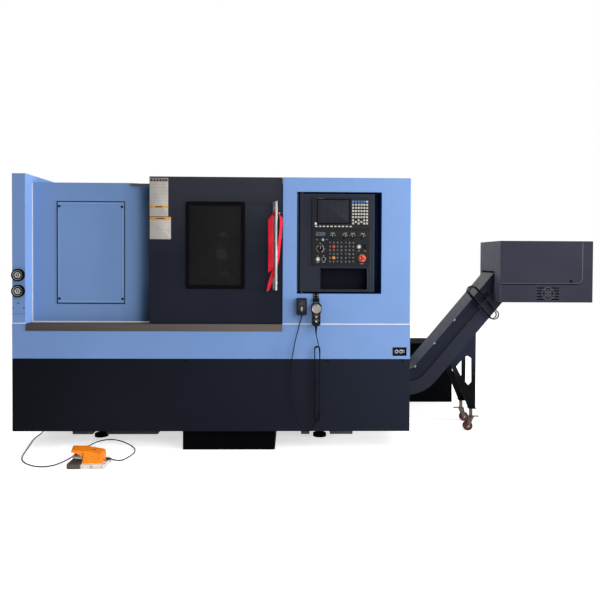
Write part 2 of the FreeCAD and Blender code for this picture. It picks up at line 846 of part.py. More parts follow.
def biarc(start, start_tangent, end, end_tangent):
    """Two arcs that join two points and keep the tangent at each."""
    gap = end - start
    both = start_tangent + end_tangent
    bend = 2 * (1 - start_tangent.dot(end_tangent))
    along = gap.dot(both)
    if bend < 1e-9:
        reach = gap.dot(gap) / (2 * along)
    else:
        reach = (math.sqrt(along * along + bend * gap.dot(gap)) - along) / bend
    middle = (start + start_tangent * reach + end - end_tangent * reach) * 0.5
    tangent = (middle - start - start_tangent * reach).normalize()
    return [arc_from(start, start_tangent, middle), arc_from(middle, tangent, end)]


def stations_to_edges(stations):
    """Arcs through stations of a point and a tangent each."""
    edges = []
    for (start, leaving), (end, arriving) in zip(stations, stations[1:]):
        if leaving.cross(end - start).Length < 1e-6 and leaving.cross(arriving).Length < 1e-6:
            edges.append(Part.LineSegment(start, end).toShape())
        else:
            edges.extend(biarc(start, leaving, end, arriving))
    return edges


def least_self_gap(edges, diameter, apart):
    """The least clear distance between stretches that are further apart along the cord than a length."""
    samples = []
    travelled = 0.0
    for edge in edges:
        count = max(2, int(edge.Length / 3))
        for point in edge.discretize(count)[:-1]:
            samples.append((travelled, point))
            travelled += edge.Length / (count - 1)
    least = 1e9
    for index, (place, point) in enumerate(samples):
        for other_place, other in samples[index + 1:]:
            if other_place - place > apart:
                least = min(least, (other - point).Length)
    return least - diameter


def print_self_gap(name, edges, diameter, apart):
    print("%s: least gap to itself %.2f mm" % (name, least_self_gap(edges, diameter, apart)))


# --- enclosure ---
def base_panels():
    outer = box(0, BODY_W, 0, BODY_D, BASE_Z, BAND_Z - SEAM)
    inner = box(SHEET, BODY_W - SHEET, SHEET, BODY_D - SHEET, BASE_Z + SHEET, BAND_Z)
    flange = BASE_FLANGE_W
    floor_hole = box(flange, BODY_W - flange, flange, BODY_D - flange, BASE_Z - SEAM, BASE_Z + SHEET)
    side = TROUGH_FLANGE + MOUTH_GAP
    mouth = box(BODY_W - 2 * SHEET, BODY_W + SEAM, TROUGH_Y - side, TROUGH_END_Y + side, TROUGH_Z - MOUTH_GAP,
                TROUGH_Z + TROUGH_H + LID_H + MOUTH_GAP)
    skirt = outer.cut(inner).cut(floor_hole).cut(mouth)
    x, y = PEDAL_GLAND
    gland = post((x, y, BASE_Z - PEDAL_GLAND_H), (0, 0, 1), PEDAL_GLAND_R, PEDAL_GLAND_H)
    return join(skirt, gland)


def front_band():
    top = SEAM_Z - SEAM
    outer = box(0, BODY_W, 0, BODY_D, BAND_Z, top)
    inner = box(SHEET, BODY_W - SHEET, SHEET, BODY_D - SHEET, BAND_Z - SEAM, SEAM_Z)
    notch = box(TOWER_W, COLUMN_X, -SEAM, SHEET + SEAM, SILL_Z - SEAM, SEAM_Z)
    x1 = CONNECTOR_X + CONNECTOR_W
    z1 = CONNECTOR_Z + CONNECTOR_H
    cup = box(CONNECTOR_X - SHEET, x1 + SHEET, 0, CONNECTOR_D + SHEET, CONNECTOR_Z - SHEET, z1 + SHEET)
    pocket = box(CONNECTOR_X, x1, -SEAM, CONNECTOR_D, CONNECTOR_Z, z1)
    band = join(outer.cut(inner).cut(notch), cup).cut(pocket)
    sockets = []
    for side in (-0.5, 0.5):
        x = CONNECTOR_X + CONNECTOR_W * 0.44 + side * SOCKET_PITCH
        z = CONNECTOR_Z + CONNECTOR_H / 2
        sockets.append(many_sided(x, z, SOCKET_R, POST_SIDES, CONNECTOR_D, CONNECTOR_D - SHEET))
    return join(band, *sockets)


def left_end_cover():
    outer = box(0, TOWER_W, 0, BODY_D, SEAM_Z, TOWER_TOP)
    outer = round_edges(outer, TOWER_EDGE_R, V(0, 0, 1), lambda middle: middle.y < SHEET)
    inner = box(SHEET, TOWER_W - SHEET, SHEET, BODY_D - SHEET, SEAM_Z - SEAM, TOWER_TOP - SHEET)
    return outer.cut(inner)


def cover_outline(inset, back):
    """The headstock cover in plan: a flat front whose right end curves to the back."""
    flat_end = COVER_END_X - COVER_CURVE_R
    radius = COVER_CURVE_R - inset
    centre_y = COVER_Y + COVER_CURVE_R
    half = math.radians(45)
    left = TOWER_W + SEAM - inset
    points = [V(left, COVER_Y + inset, 0), V(flat_end, COVER_Y + inset, 0)]
    middle = V(flat_end + radius * math.sin(half), centre_y - radius * math.cos(half), 0)
    end = V(COVER_END_X - inset, centre_y, 0)
    right_back = V(end.x, back, 0)
    left_back = V(left, back, 0)
    edges = [Part.LineSegment(*points).toShape(), Part.Arc(points[1], middle, end).toShape()]
    corners = [end, right_back, left_back, points[0]]
    edges += [Part.LineSegment(a, b).toShape() for a, b in zip(corners, corners[1:])]
    return Part.Face(Part.Wire(edges))


def cover_block(inset, z0, z1):
    block = cover_outline(inset, BODY_D - SHEET - SEAM).extrude(V(0, 0, z1 - z0))
    block.translate(V(0, 0, z0))
    return block


def plate_opening():
    """The hole that the access panel closes, smaller than the panel by its lap."""
    x1 = PANEL_PLATE_X + PANEL_PLATE_W - PLATE_LAP
    z1 = PANEL_PLATE_Z + PANEL_PLATE_H - PLATE_LAP
    return box(PANEL_PLATE_X + PLATE_LAP, x1, 0, COVER_Y + 2 * SHEET, PANEL_PLATE_Z + PLATE_LAP, z1)


def headstock_cover():
    outer = cover_block(0, SEAM_Z, COVER_TOP)
    inner = cover_block(SHEET, SEAM_Z - SEAM, COVER_TOP - SHEET)
    curve_back = COVER_Y + COVER_CURVE_R
    side_hole = box(COVER_END_X - 2 * SHEET, COVER_END_X + SHEET, curve_back, BODY_D, 0, COVER_TOP - SHEET)
    back_hole = box(TOWER_W, COVER_END_X, BODY_D / 2, BODY_D, 0, COVER_TOP - SHEET)
    side_open = box(TOWER_W, TOWER_W + SEAM + SHEET, COVER_Y + SHEET, BODY_D, 0, COVER_TOP - SHEET)
    return outer.cut(inner).cut(side_hole).cut(back_hole).cut(side_open).cut(plate_opening())


def access_panel():
    x1 = PANEL_PLATE_X + PANEL_PLATE_W
    z1 = PANEL_PLATE_Z + PANEL_PLATE_H
    return rounded_box(PANEL_PLATE_X, x1, COVER_Y - SHEET, COVER_Y, PANEL_PLATE_Z, z1, PANEL_PLATE_R, FRONT)


def column_shell():
    outer = box(COLUMN_X, BODY_W, 0, COLUMN_D, SEAM_Z, COLUMN_TOP)
    outer = round_edges(outer, TOWER_EDGE_R, V(0, 0, 1), lambda middle: middle.y < SHEET)
    inner = box(COLUMN_X + SHEET, BODY_W - SHEET, SHEET, COLUMN_D + SHEET, SEAM_Z - SEAM, COLUMN_TOP - SHEET)
    jamb_hole = box(COLUMN_X - SEAM, COLUMN_X + 2 * SHEET, DOOR_BACK, COLUMN_D, SEAM_Z - SEAM, COLUMN_TOP - SHEET)
    x1 = RECESS_X + RECESS_W
    z1 = RECESS_Z + RECESS_H
    tub = box(RECESS_X - SHEET, x1 + SHEET, 0, RECESS_D + SHEET, RECESS_Z - SHEET, z1 + SHEET)
    pocket = box(RECESS_X, x1, -SEAM, RECESS_D, RECESS_Z, z1)
    pin_length = CONSOLE_GAP + PIN_REACH
    x = CONSOLE_X + PIN_INSET
    lower = post((x, PIN_INSET, RECESS_Z), (0, 0, 1), PIN_R, pin_length)
    upper = post((x, PIN_INSET, z1), DOWN, PIN_R, pin_length)
    shell = join(outer.cut(inner).cut(jamb_hole), tub).cut(pocket)
    return join(shell, lower, upper)


def cabinet_span():
    """The opening at the back of the electrical cabinet."""
    inset = CABINET_DOOR_INSET
    return COLUMN_X + inset, BODY_W - inset, SEAM_Z + inset, COLUMN_TOP - inset


def rear_enclosure():
    top = COVER_TOP
    back = BODY_D - SHEET
    wall = box(TOWER_W + SEAM, COLUMN_X, back, BODY_D, SEAM_Z, top)
    roof = box(COVER_END_X + SEAM, COLUMN_X, COVER_Y, BODY_D, top - SHEET, top)
    cabinet = box(COLUMN_X, BODY_W, COLUMN_D + SEAM, BODY_D, SEAM_Z, COLUMN_TOP)
    x0, x1, z0, z1 = cabinet_span()
    hollow = box(x0 + SHEET, x1 - SHEET, COLUMN_D + SEAM + SHEET, BODY_D + SHEET, z0 + SHEET, z1 - SHEET)
    shell = join(wall, roof, cabinet.cut(hollow))
    pin_y = BODY_D + CABINET_DOOR_T / 2
    half = 1.5 * CABINET_PIN_R
    pins = []
    for z in (z0 + CABINET_PIN_L, z1 - 2 * CABINET_PIN_L):
        ear = box(x1 - half, x1 + half, BODY_D - SEAM, pin_y + half, z, z + CABINET_PIN_L)
        pins.append(join(ear, post((x1, pin_y, z), (0, 0, 1), CABINET_PIN_R, 2 * CABINET_PIN_L)))
    return join(shell, *pins)


def cabinet_door():
    x0, x1, z0, z1 = cabinet_span()
    face = BODY_D + CABINET_DOOR_GAP
    back = BODY_D + CABINET_DOOR_T
    door = box(x0, x1 - 3 * CABINET_PIN_R, face, back, z0, z1)
    pin_y = BODY_D + CABINET_DOOR_T / 2
    parts = [door]
    for z in (z0 + 2 * CABINET_PIN_L + SEAM, z1 - CABINET_PIN_L + SEAM):
        length = CABINET_PIN_L - 2 * SEAM
        knuckle = post((x1, pin_y, z), (0, 0, 1), 1.5 * CABINET_PIN_R, length)
        leaf = box(x1 - 4 * CABINET_PIN_R, x1, pin_y - SHEET, pin_y + SHEET, z, z + length)
        bore = rod((x1, pin_y, z - SEAM), (0, 0, 1), CABINET_PIN_R + SHAFT_GAP, length + 2 * SEAM)
        parts.append(join(knuckle, leaf).cut(bore))
    for z in (z0 + CONSOLE_H / 4, z1 - CONSOLE_H / 4):
        parts.append(box(x0 + LATCH_W, x0 + 2 * LATCH_W, back - SEAM, back + LATCH_T, z, z + LATCH_H))
    return join(*parts)


def work_area_liner():
    top = COVER_TOP - SHEET - SEAM
    front = COVER_Y + COVER_CURVE_R + SEAM
    slope_top = slant(0, BED_HIGH, LINER_GAP - BED_DROP)
    slope_low = slant(0, -BED_LOW, LINER_GAP - BED_DROP)
    sill_back = SILL_D - SILL_PROUD
    fall = (SILL_Z - CHUTE_LOW_Z) / (CHUTE_LOW_Y - sill_back)
    chute_at_front = SILL_Z - (front - sill_back) * fall
    back_share = (GUARD_Y - SHEET - slope_top.y) / (BED_BACK_Y - slope_top.y)
    guard_low = slope_top.z + (BED_BACK_TOP - slope_top.z) * back_share + LINER_GAP
    outline = [(front, top), (GUARD_Y, top), (GUARD_Y, guard_low), (slope_top.y, slope_top.z),
               (slope_low.y, slope_low.z), (CHUTE_LOW_Y, CHUTE_LOW_Z), (front, chute_at_front)]
    left = end_plate(outline, COVER_END_X - SHEET, COVER_END_X)
    hole = post((COVER_END_X - 2 * SHEET, AXIS_Y, AXIS_Z), RIGHT, CHUCK_HOLE_R, 4 * SHEET, DRUM_SIDES)
    right = end_plate(outline, LINER_RIGHT_X, LINER_RIGHT_X + SHEET)
    guard = box(COVER_END_X, LINER_RIGHT_X, GUARD_Y - SHEET, GUARD_Y, guard_low, top)
    chute_line = [(sill_back, SILL_Z), (CHUTE_LOW_Y, CHUTE_LOW_Z), (CHUTE_LOW_Y, CHUTE_LOW_Z - 2 * SHEET),
                  (sill_back, SILL_Z - 2 * SHEET)]
    chute = end_plate(chute_line, COVER_END_X - SHEET, LINER_RIGHT_X + SHEET)
    return join(left.cut(hole), right, guard, chute)


def pressure_gauges():
    return group(*[many_sided(GAUGE_X, z, GAUGE_R, DRUM_SIDES, 0, GAUGE_DEPTH) for z in GAUGE_Z])


# --- door ---
def door_tracks():
    sill = box(SILL_X, SILL_END, -SILL_PROUD, SILL_D - SILL_PROUD, SILL_Z, SEAM_Z)
    sill = round_edges(sill, SILL_EDGE_R, RIGHT, lambda middle: middle.y < 0)
    hollow = box(SILL_X - SEAM, SILL_END + SEAM, SHEET, DOOR_Y + FIN_OFFSET - SILL_EDGE_R - SHEET,
                 SILL_Z - SEAM, SEAM_Z - 2 * SHEET)
    fin_y = DOOR_Y + FIN_OFFSET
    groove = box(SILL_X - SEAM, SILL_END + SEAM, fin_y - GROOVE_GAP, fin_y + FIN_T + GROOVE_GAP,
                 DOOR_Z - FIN_H - GROOVE_GAP, SEAM_Z + SEAM)
    back_hollow = box(SILL_X - SEAM, SILL_END + SEAM, fin_y + FIN_T + 2 * SHEET, SILL_D - SILL_PROUD - SHEET,
                      SILL_Z - SEAM, SEAM_Z - 2 * SHEET)
    rail = box(RAIL_X, SILL_END, DOOR_BACK + RAIL_BACK_GAP, COVER_Y + SHEET, RAIL_Z, RAIL_Z + RAIL_H)
    rail = rail.cut(cover_block(0, SEAM_Z, COVER_TOP))
    return group(sill.cut(hollow).cut(groove).cut(back_hollow), rail)


def window_rect(inset, y0, y1):
    x0 = WINDOW_X + inset
    x1 = WINDOW_X + WINDOW_W - inset
    return rounded_box(x0, x1, y0, y1, WINDOW_Z + inset, WINDOW_Z + WINDOW_H - inset, WINDOW_R, FRONT)


def door_shell():
    x1 = DOOR_X + DOOR_W
    outer = box(DOOR_X, x1, DOOR_Y, DOOR_BACK, DOOR_Z, DOOR_TOP)
    outer = round_edges(outer, DOOR_EDGE_R, V(0, 0, 1), lambda middle: middle.y < DOOR_Y + SHEET)
    tray = box(DOOR_X + SHEET, x1 - SHEET, DOOR_Y + SHEET, DOOR_BACK + SEAM, DOOR_Z + SHEET, DOOR_TOP - SHEET)
    frame = window_rect(0, DOOR_Y - WINDOW_PROUD, DOOR_Y - WINDOW_PROUD + WINDOW_FRAME_D)
    opening = window_rect(WINDOW_RIM, 0, DOOR_BACK)
    rebate = glass_block(SLIDE_GAP, glass_face(), DOOR_BACK)
    fin_y = DOOR_Y + FIN_OFFSET
    fin = box(DOOR_X + HANGER_INSET, x1 - HANGER_INSET, fin_y, fin_y + FIN_T, DOOR_Z - FIN_H, DOOR_Z + SHEET)
    hangers = []
    hanger_z = RAIL_Z + RAIL_H + SLIDE_GAP
    for step in (0, 1):
        x = x1 - HANGER_INSET - HANGER_W - step * HANGER_SPACING
        hanger = box(x, x + HANGER_W, DOOR_Y + SHEET, COVER_Y - RAIL_BACK_GAP / 2, hanger_z, hanger_z + HANGER_H)
        hangers.append(hanger)
    return join(outer.cut(tray), frame, fin, *hangers).cut(opening).cut(rebate)


def glass_face():
    return DOOR_Y - WINDOW_PROUD + GLASS_T


def glass_block(grow, y0, y1):
    """The pane's outline, grown on all sides for the rebate that takes it."""
    inset = WINDOW_RIM - GLASS_LAP - grow
    x1 = WINDOW_X + WINDOW_W - inset
    return box(WINDOW_X + inset, x1, y0, y1, WINDOW_Z + inset, WINDOW_Z + WINDOW_H - inset)


def door_glass():
    return glass_block(0, glass_face(), glass_face() + GLASS_T)


def door_handle():
    face = DOOR_Y - HANDLE_REACH
    x1 = HANDLE_X + HANDLE_W
    top = HANDLE_Z + HANDLE_H
    bar = rounded_box(HANDLE_X, x1, face - HANDLE_T, face, HANDLE_Z, top, HANDLE_R, V(0, 0, 1))
    posts = []
    for z in (HANDLE_Z, top - HANDLE_POST_H):
        posts.append(box(HANDLE_X + SHEET, x1 - SHEET, face - SHEET, DOOR_Y, z, z + HANDLE_POST_H))
    strip_x1 = HANDLE_X - HANDLE_STRIP_GAP
    strip = box(strip_x1 - HANDLE_STRIP_W, strip_x1, DOOR_Y - HANDLE_STRIP_T, DOOR_Y, HANDLE_Z, top)
    feet = []
    for z in (HANDLE_Z, top - HANDLE_POST_H):
        feet.append(box(strip_x1 - SHEET, HANDLE_X + 2 * SHEET, DOOR_Y - HANDLE_STRIP_T, DOOR_Y, z, z + HANDLE_POST_H))
    return join(bar, strip, *posts, *feet)


def door_ribbon():
    """A strip of cloth tied round the handle, with one long tail and one loose loop."""
    bar_face = DOOR_Y - HANDLE_REACH - HANDLE_T
    y1 = bar_face - RIBBON_GAP
    y0 = y1 - RIBBON_T
    knot = V(HANDLE_X, 0, HANDLE_Z + HANDLE_H - RIBBON_DROP)
    strips = []
    for outline in (RIBBON_TAIL, RIBBON_LOOP, RIBBON_BAND):
        strips.append(side_plate([(knot.x + x, knot.z + z) for x, z in outline], y0, y1))
    return join(*strips)


# --- operator console ---
def console_box():
    x1 = CONSOLE_X + CONSOLE_W
    z1 = CONSOLE_Z + CONSOLE_H
    body = box(CONSOLE_X, x1, 0, CONSOLE_D, CONSOLE_Z, z1)
    body = round_edges(body, CONSOLE_EDGE_R, V(0, 0, 1), lambda middle: middle.y < SHEET)
    tray = rounded_box(TRAY_X, TRAY_X + TRAY_W, -SEAM, TRAY_D, TRAY_Z, TRAY_Z + TRAY_H, TRAY_R, FRONT)
    pin_x = CONSOLE_X + PIN_INSET
    hole = PIN_R + SHAFT_GAP
    depth = PIN_REACH + SEAM
    lower = rod((pin_x, PIN_INSET, CONSOLE_Z), (0, 0, 1), hole, depth)
    upper = rod((pin_x, PIN_INSET, z1), DOWN, hole, depth)
    return body.cut(tray).cut(lower).cut(upper)


def cnc_unit():
    x1 = UNIT_X + UNIT_W
    bezel = rounded_box(UNIT_X, x1, -UNIT_T, 0, UNIT_Z, UNIT_Z + UNIT_H, UNIT_EDGE_R, FRONT)
    well = box(SCREEN_X, SCREEN_X + SCREEN_W, -UNIT_T - SEAM, SCREEN_DEPTH - UNIT_T, SCREEN_Z, SCREEN_Z + SCREEN_H)
    glass_y = SCREEN_DEPTH - UNIT_T
    glass = box(SCREEN_X, SCREEN_X + SCREEN_W, glass_y - SCREEN_T, glass_y, SCREEN_Z, SCREEN_Z + SCREEN_H)
    return group(bezel.cut(well), glass)


def key_block(x0, z0, columns, rows, pitch_x, pitch_z, width, height, face):
    """A block of keys by the centre of its upper left key."""
    keys = []
    for column in range(columns):
        for row in range(rows):
            x = x0 + column * pitch_x
            z = z0 - row * pitch_z
            keys.append(box(x - width / 2, x + width / 2, face - KEY_H, face, z - height / 2, z + height / 2))
    return keys


def panel_keys():
    keys = key_block(PAD_X, PAD_TOP_Z, PAD_COLUMNS, PAD_ROWS, PAD_PITCH_X, PAD_PITCH_Z, PAD_KEY, PAD_KEY, -UNIT_T)
    keys += key_block(SOFT_X, SOFT_Z, SOFT_KEYS, 1, SOFT_PITCH, 0, SOFT_KEY_W, SOFT_KEY_H, -UNIT_T)
    for x, columns in ((MODE_X, MODE_COLUMNS), (MODE_SECOND_X, MODE_SECOND_COLUMNS)):
        keys += key_block(x, MODE_TOP_Z, columns, MODE_ROWS, MODE_PITCH, MODE_PITCH, MODE_KEY, MODE_KEY, PLATE_FACE)
    return group(*keys)


def operator_panel():
    plate = box(UNIT_X, UNIT_X + UNIT_W, PLATE_FACE, 0, PLATE_Z, PLATE_Z + PLATE_H)
    parts = [plate]
    parts.append(box(COUNTER_X, COUNTER_X + COUNTER_W, PLATE_FACE - COUNTER_T, PLATE_FACE, COUNTER_Z,
                     COUNTER_Z + COUNTER_H))
    parts.append(many_sided(STOP_X, STOP_Z, STOP_RING_R, STOP_SIDES, PLATE_FACE, STOP_RING_H))
    for x in SELECTOR_X:
        skirt = many_sided(x, SELECTOR_Z, SELECTOR_R, SELECTOR_SIDES, PLATE_FACE, SELECTOR_H / 2)
        reach = SELECTOR_R * 0.9
        grip = box(x - GRIP_W / 2, x + GRIP_W / 2, PLATE_FACE - SELECTOR_H, PLATE_FACE - SELECTOR_H / 2,
                   SELECTOR_Z - reach, SELECTOR_Z + reach)
        parts.append(join(skirt, grip))
    for x, drop in FIXED_BUTTONS:
        parts.append(many_sided(COLUMN_X + x, COLUMN_TOP - drop, BUTTON_R, BUTTON_SIDES, PLATE_FACE, FIXED_BUTTON_H))
    panel = join(*parts)
    depth = PLATE_T + STOP_RING_H + SEAM
    for x in BUTTON_X:
        panel = panel.cut(many_sided(x, BUTTON_Z, BUTTON_R + SLIDE_GAP, BUTTON_SIDES, 0, depth))
    panel = panel.cut(many_sided(STOP_X, STOP_Z, STOP_STEM_R + SLIDE_GAP, STOP_SIDES, 0, depth))
    for x, z, radius in ((LOCK_X, LOCK_Z, LOCK_R), (DIAL_X, DIAL_Z, DIAL_STEM_R)):
        panel = panel.cut(button(x, z, radius + SHAFT_GAP, 0, depth))
    return panel


def push_button(x):
    return many_sided(x, BUTTON_Z, BUTTON_R, BUTTON_SIDES, PLATE_FACE + BUTTON_SKIRT, BUTTON_SKIRT + BUTTON_PROUD)


def emergency_stop():
    base = PLATE_FACE - STOP_RING_H - STOP_LIFT
    length = BUTTON_SKIRT + STOP_RING_H + STOP_LIFT
    stem = many_sided(STOP_X, STOP_Z, STOP_STEM_R, STOP_SIDES, PLATE_FACE + BUTTON_SKIRT, length)
    rim_h = STOP_HEAD_H - STOP_EDGE
    rim = many_sided(STOP_X, STOP_Z, STOP_R, STOP_SIDES, base, rim_h)
    crown = tapered(STOP_X, STOP_Z, STOP_R, STOP_R - STOP_EDGE, STOP_SIDES, base - rim_h, STOP_EDGE)
    return join(stem, rim, crown)


def key_switch():
    plug = many_sided(LOCK_X, LOCK_Z, LOCK_R, BUTTON_SIDES, 0, PLATE_T + SHEET)
    face = PLATE_FACE - SHEET
    half = KEY_BLADE_W / 2
    return join(plug, box(LOCK_X - half, LOCK_X + half, face - KEY_BLADE_H, face, LOCK_Z - KEY_BLADE_L / 2,
                          LOCK_Z + KEY_BLADE_L / 2))


def override_dial():
    base = PLATE_FACE - SLIDE_GAP
    stem = many_sided(DIAL_X, DIAL_Z, DIAL_STEM_R, POST_SIDES, 0, PLATE_T + SEAM)
    return join(many_sided(DIAL_X, DIAL_Z, DIAL_R, 2 * DIAL_FLUTES, base, DIAL_H, DIAL_FLUTE), stem)


# --- pendant ---
def pendant_body():
    z1 = PENDANT_Z + PENDANT_H
    half_outline = [(PENDANT_FOOT_W / 2, PENDANT_Z), (PENDANT_WAIST_W / 2, PENDANT_Z + PENDANT_R),
                    (PENDANT_WAIST_W / 2, PENDANT_Z + PENDANT_WAIST_H), (PENDANT_W / 2, WHEEL_Z - PENDANT_R),
                    (PENDANT_W / 2, z1 - PENDANT_R), (PENDANT_W / 2 - PENDANT_R, z1)]
    outline = [(PENDANT_X + x, z) for x, z in half_outline] + [(PENDANT_X - x, z) for x, z in half_outline[::-1]]
    case = side_plate(outline, PENDANT_FACE, -PENDANT_BACK)
    gland = post((PENDANT_X, PENDANT_UPPER[0][1], PENDANT_Z), DOWN, GLAND_R, GLAND_H)
    half = BAIL_W / 2
    bail_y = -PENDANT_BACK - BAIL_T
    bail_top = z1 + BAIL_H
    bail = box(PENDANT_X - half, PENDANT_X + half, bail_y, -PENDANT_BACK, z1 - SEAM, bail_top)
    eye_half = half - BAIL_BAR
    eye = box(PENDANT_X - eye_half, PENDANT_X + eye_half, bail_y - SEAM, SEAM, z1, bail_top - BAIL_BAR)
    body = join(case, gland, bail.cut(eye))
    holes = [(WHEEL_Z, WHEEL_STEM_R)] + [(z, PENDANT_KNOB_STEM_R) for z in PENDANT_KNOB_Z]
    for z, radius in holes:
        body = body.cut(button(PENDANT_X, z, radius + SHAFT_GAP, PENDANT_FACE + WHEEL_STEM_L, 2 * WHEEL_STEM_L))
    hook_x0 = PENDANT_X - HOOK_W / 2
    hook_top = bail_top - BAIL_BAR
    back = box(hook_x0, hook_x0 + HOOK_W, -HOOK_T, 0, z1 + SHEET, HOOK_TOP)
    tongue_half = eye_half - SHEET
    lip_y = bail_y - SLIDE_GAP - HOOK_T
    tongue = box(PENDANT_X - tongue_half, PENDANT_X + tongue_half, lip_y, -SEAM, hook_top - HOOK_T, hook_top)
    lip = box(PENDANT_X - tongue_half, PENDANT_X + tongue_half, lip_y, lip_y + HOOK_T, hook_top - HOOK_T, bail_top)
    return group(body, join(back, tongue, lip))


def hand_wheel():
    base = PENDANT_FACE - WHEEL_GAP
    wheel = many_sided(PENDANT_X, WHEEL_Z, WHEEL_R, WHEEL_SIDES, base, WHEEL_T)
    stem_base = PENDANT_FACE + WHEEL_STEM_L - SEAM
    stem = many_sided(PENDANT_X, WHEEL_Z, WHEEL_STEM_R, POST_SIDES, stem_base, WHEEL_STEM_L + WHEEL_GAP)
    crank = many_sided(PENDANT_X, WHEEL_Z + CRANK_OFFSET, CRANK_R, STOP_SIDES // 2, base - WHEEL_T, CRANK_H)
    return join(wheel, stem, crank)


def pendant_knob(z):
    base = PENDANT_FACE - SLIDE_GAP
    knob = many_sided(PENDANT_X, z, PENDANT_KNOB_R, PENDANT_KNOB_SIDES, base, PENDANT_KNOB_H / 2)
    reach = PENDANT_KNOB_R * 0.9
    grip = box(PENDANT_X - GRIP_W / 2, PENDANT_X + GRIP_W / 2, base - PENDANT_KNOB_H, base, z - reach, z + reach)
    stem_base = PENDANT_FACE + WHEEL_STEM_L - SEAM
    stem = many_sided(PENDANT_X, z, PENDANT_KNOB_STEM_R, POST_SIDES, stem_base, WHEEL_STEM_L)
    return join(knob, grip, stem)


def socket_hood():
    x1 = HOOD_X + HOOD_W
    z1 = HOOD_Z + HOOD_H
    outer = rounded_box(HOOD_X, x1, -HOOD_D, 0, HOOD_Z, z1, HOOD_R, FRONT)
    return outer.cut(box(HOOD_X + SHEET, x1 - SHEET, SHEET - HOOD_D, -SHEET, HOOD_Z - SEAM, plug_top()))


def hood_middle():
    return HOOD_X + HOOD_W / 2


def plug_top():
    return HOOD_Z + HOOD_H * 0.72


def pendant_plug():
    pieces = []
    for radius, z0, z1 in ((PLUG_R, PLUG_Z, plug_top()), (PLUG_TAIL_R, PLUG_Z - PLUG_TAIL_H, PLUG_Z)):
        corners = [(x, z, 0) for x, y, z in ring_points(hood_middle(), 0, PLUG_Y, radius, PLUG_SIDES)]
        piece = prism(corners, (0, 0, z1 - z0))
        piece.translate(V(0, 0, z0))
        pieces.append(piece)
    return join(*pieces)


# --- bed, headstock and slides ---
def bed_casting():
    top = slant(0, BED_HIGH, -BED_DROP)
    low = slant(0, -BED_LOW, -BED_DROP)
    channel_back = TROUGH_END_Y + CHANNEL_GAP
    outline = [(BED_FRONT_Y, BED_Z), (BED_BACK_Y, BED_Z), (BED_BACK_Y, BED_BACK_TOP), (top.y, top.z),
               (low.y, low.z), (BED_LIP_Y, BED_LIP_Z), (channel_back, CHANNEL_TOP), (channel_back, SLAB_TOP),
               (BED_FRONT_Y, SLAB_TOP)]
    bed = end_plate(outline, BED_X, BED_X + BED_L)
    feet = []
    blocks = list(LEFT_FOOT_BLOCKS) + [(BODY_W - x, length) for x, length in RIGHT_FOOT_BLOCKS]
    for x, length in blocks:
        for y in FOOT_ROWS:
            feet.append(box(x, x + length, y, y + FOOT_D, FOOT_Z, BED_Z))
    return join(bed, *feet, *bed_rails(0))


def levelling_feet():
    feet = []
    for x in BOLT_X:
        for row in FOOT_ROWS:
            y = row + FOOT_D / 2
            pad = post((x, y, 0), UP, PAD_R, PAD_H)
            bolt = post((x, y, PAD_H), UP, BOLT_R, BED_Z - NUT_H - PAD_H)
            feet.append(join(pad, bolt, post((x, y, BED_Z - NUT_H), UP, NUT_R, NUT_H, 6)))
    return group(*feet)


def axis_rod(x, radius, length):
    """A cylinder on the spindle's axis."""
    return rod((x, AXIS_Y, AXIS_Z), RIGHT, radius, length)


def axis_drum(x, radius, length):
    """A many-sided drum on the spindle's axis."""
    return post((x, AXIS_Y, AXIS_Z), RIGHT, radius, length, DRUM_SIDES)


def headstock_casting():
    half = HEADSTOCK_R
    foot = slant_box(HEADSTOCK_X, HEADSTOCK_X + HEADSTOCK_L, -half, half, -BED_DROP, 0)
    barrel = axis_drum(HEADSTOCK_X, HEADSTOCK_R, HEADSTOCK_L)
    bore = axis_rod(HEADSTOCK_X - SEAM, SPINDLE_R + SHAFT_GAP, HEADSTOCK_L + 2 * SEAM)
    return join(foot, barrel).cut(bore)


def spindle():
    turned = join(axis_rod(SPINDLE_X, SPINDLE_R, CHUCK_X - SPINDLE_X),
                  axis_drum(PULLEY_X, PULLEY_R, PULLEY_L),
                  axis_drum(SPINDLE_X - CYLINDER_L, CYLINDER_R, CYLINDER_L))
    belt_x = PULLEY_X + (PULLEY_L - BELT_W) / 2
    belt = axis_drum(belt_x, PULLEY_R + SEAM, BELT_W).cut(axis_drum(belt_x, PULLEY_R - BELT_DEPTH, BELT_W))
    return turned.cut(belt).cut(axis_drum(SPINDLE_X - CYLINDER_L - SEAM, SPINDLE_BORE_R, CHUCK_X))


def on_jaw(shape, number):
    """Turns a shape from the upright jaw place to one of the three."""
    shape.rotate(V(0, AXIS_Y, AXIS_Z), RIGHT, 120 * number)
    return shape


def chuck_body():
    chuck = axis_drum(CHUCK_X, CHUCK_R, CHUCK_L).cut(axis_drum(CHUCK_X - SEAM, CHUCK_BORE_R, CHUCK_L + 2 * SEAM))
    half = JAW_W / 2 + SLIDE_GAP
    face = CHUCK_X + CHUCK_L
    for number in range(3):
        slot = box(face - JAW_DEPTH - SLIDE_GAP, face + SEAM, AXIS_Y - half, AXIS_Y + half, AXIS_Z + SLOT_IN,
                   AXIS_Z + CHUCK_R + SHEET)
        chuck = chuck.cut(on_jaw(slot, number))
    return chuck


def chuck_jaw(number):
    half = JAW_W / 2
    face = CHUCK_X + CHUCK_L
    base = box(face - JAW_DEPTH, face + JAW_TOP_L, AXIS_Y - half, AXIS_Y + half, AXIS_Z + JAW_IN, AXIS_Z + JAW_OUT)
    step = box(face + JAW_TOP_L, face + JAW_STEP_L, AXIS_Y - half, AXIS_Y + half, AXIS_Z + JAW_STEP_IN,
               AXIS_Z + JAW_STEP_OUT)
    return on_jaw(join(base, step), number)


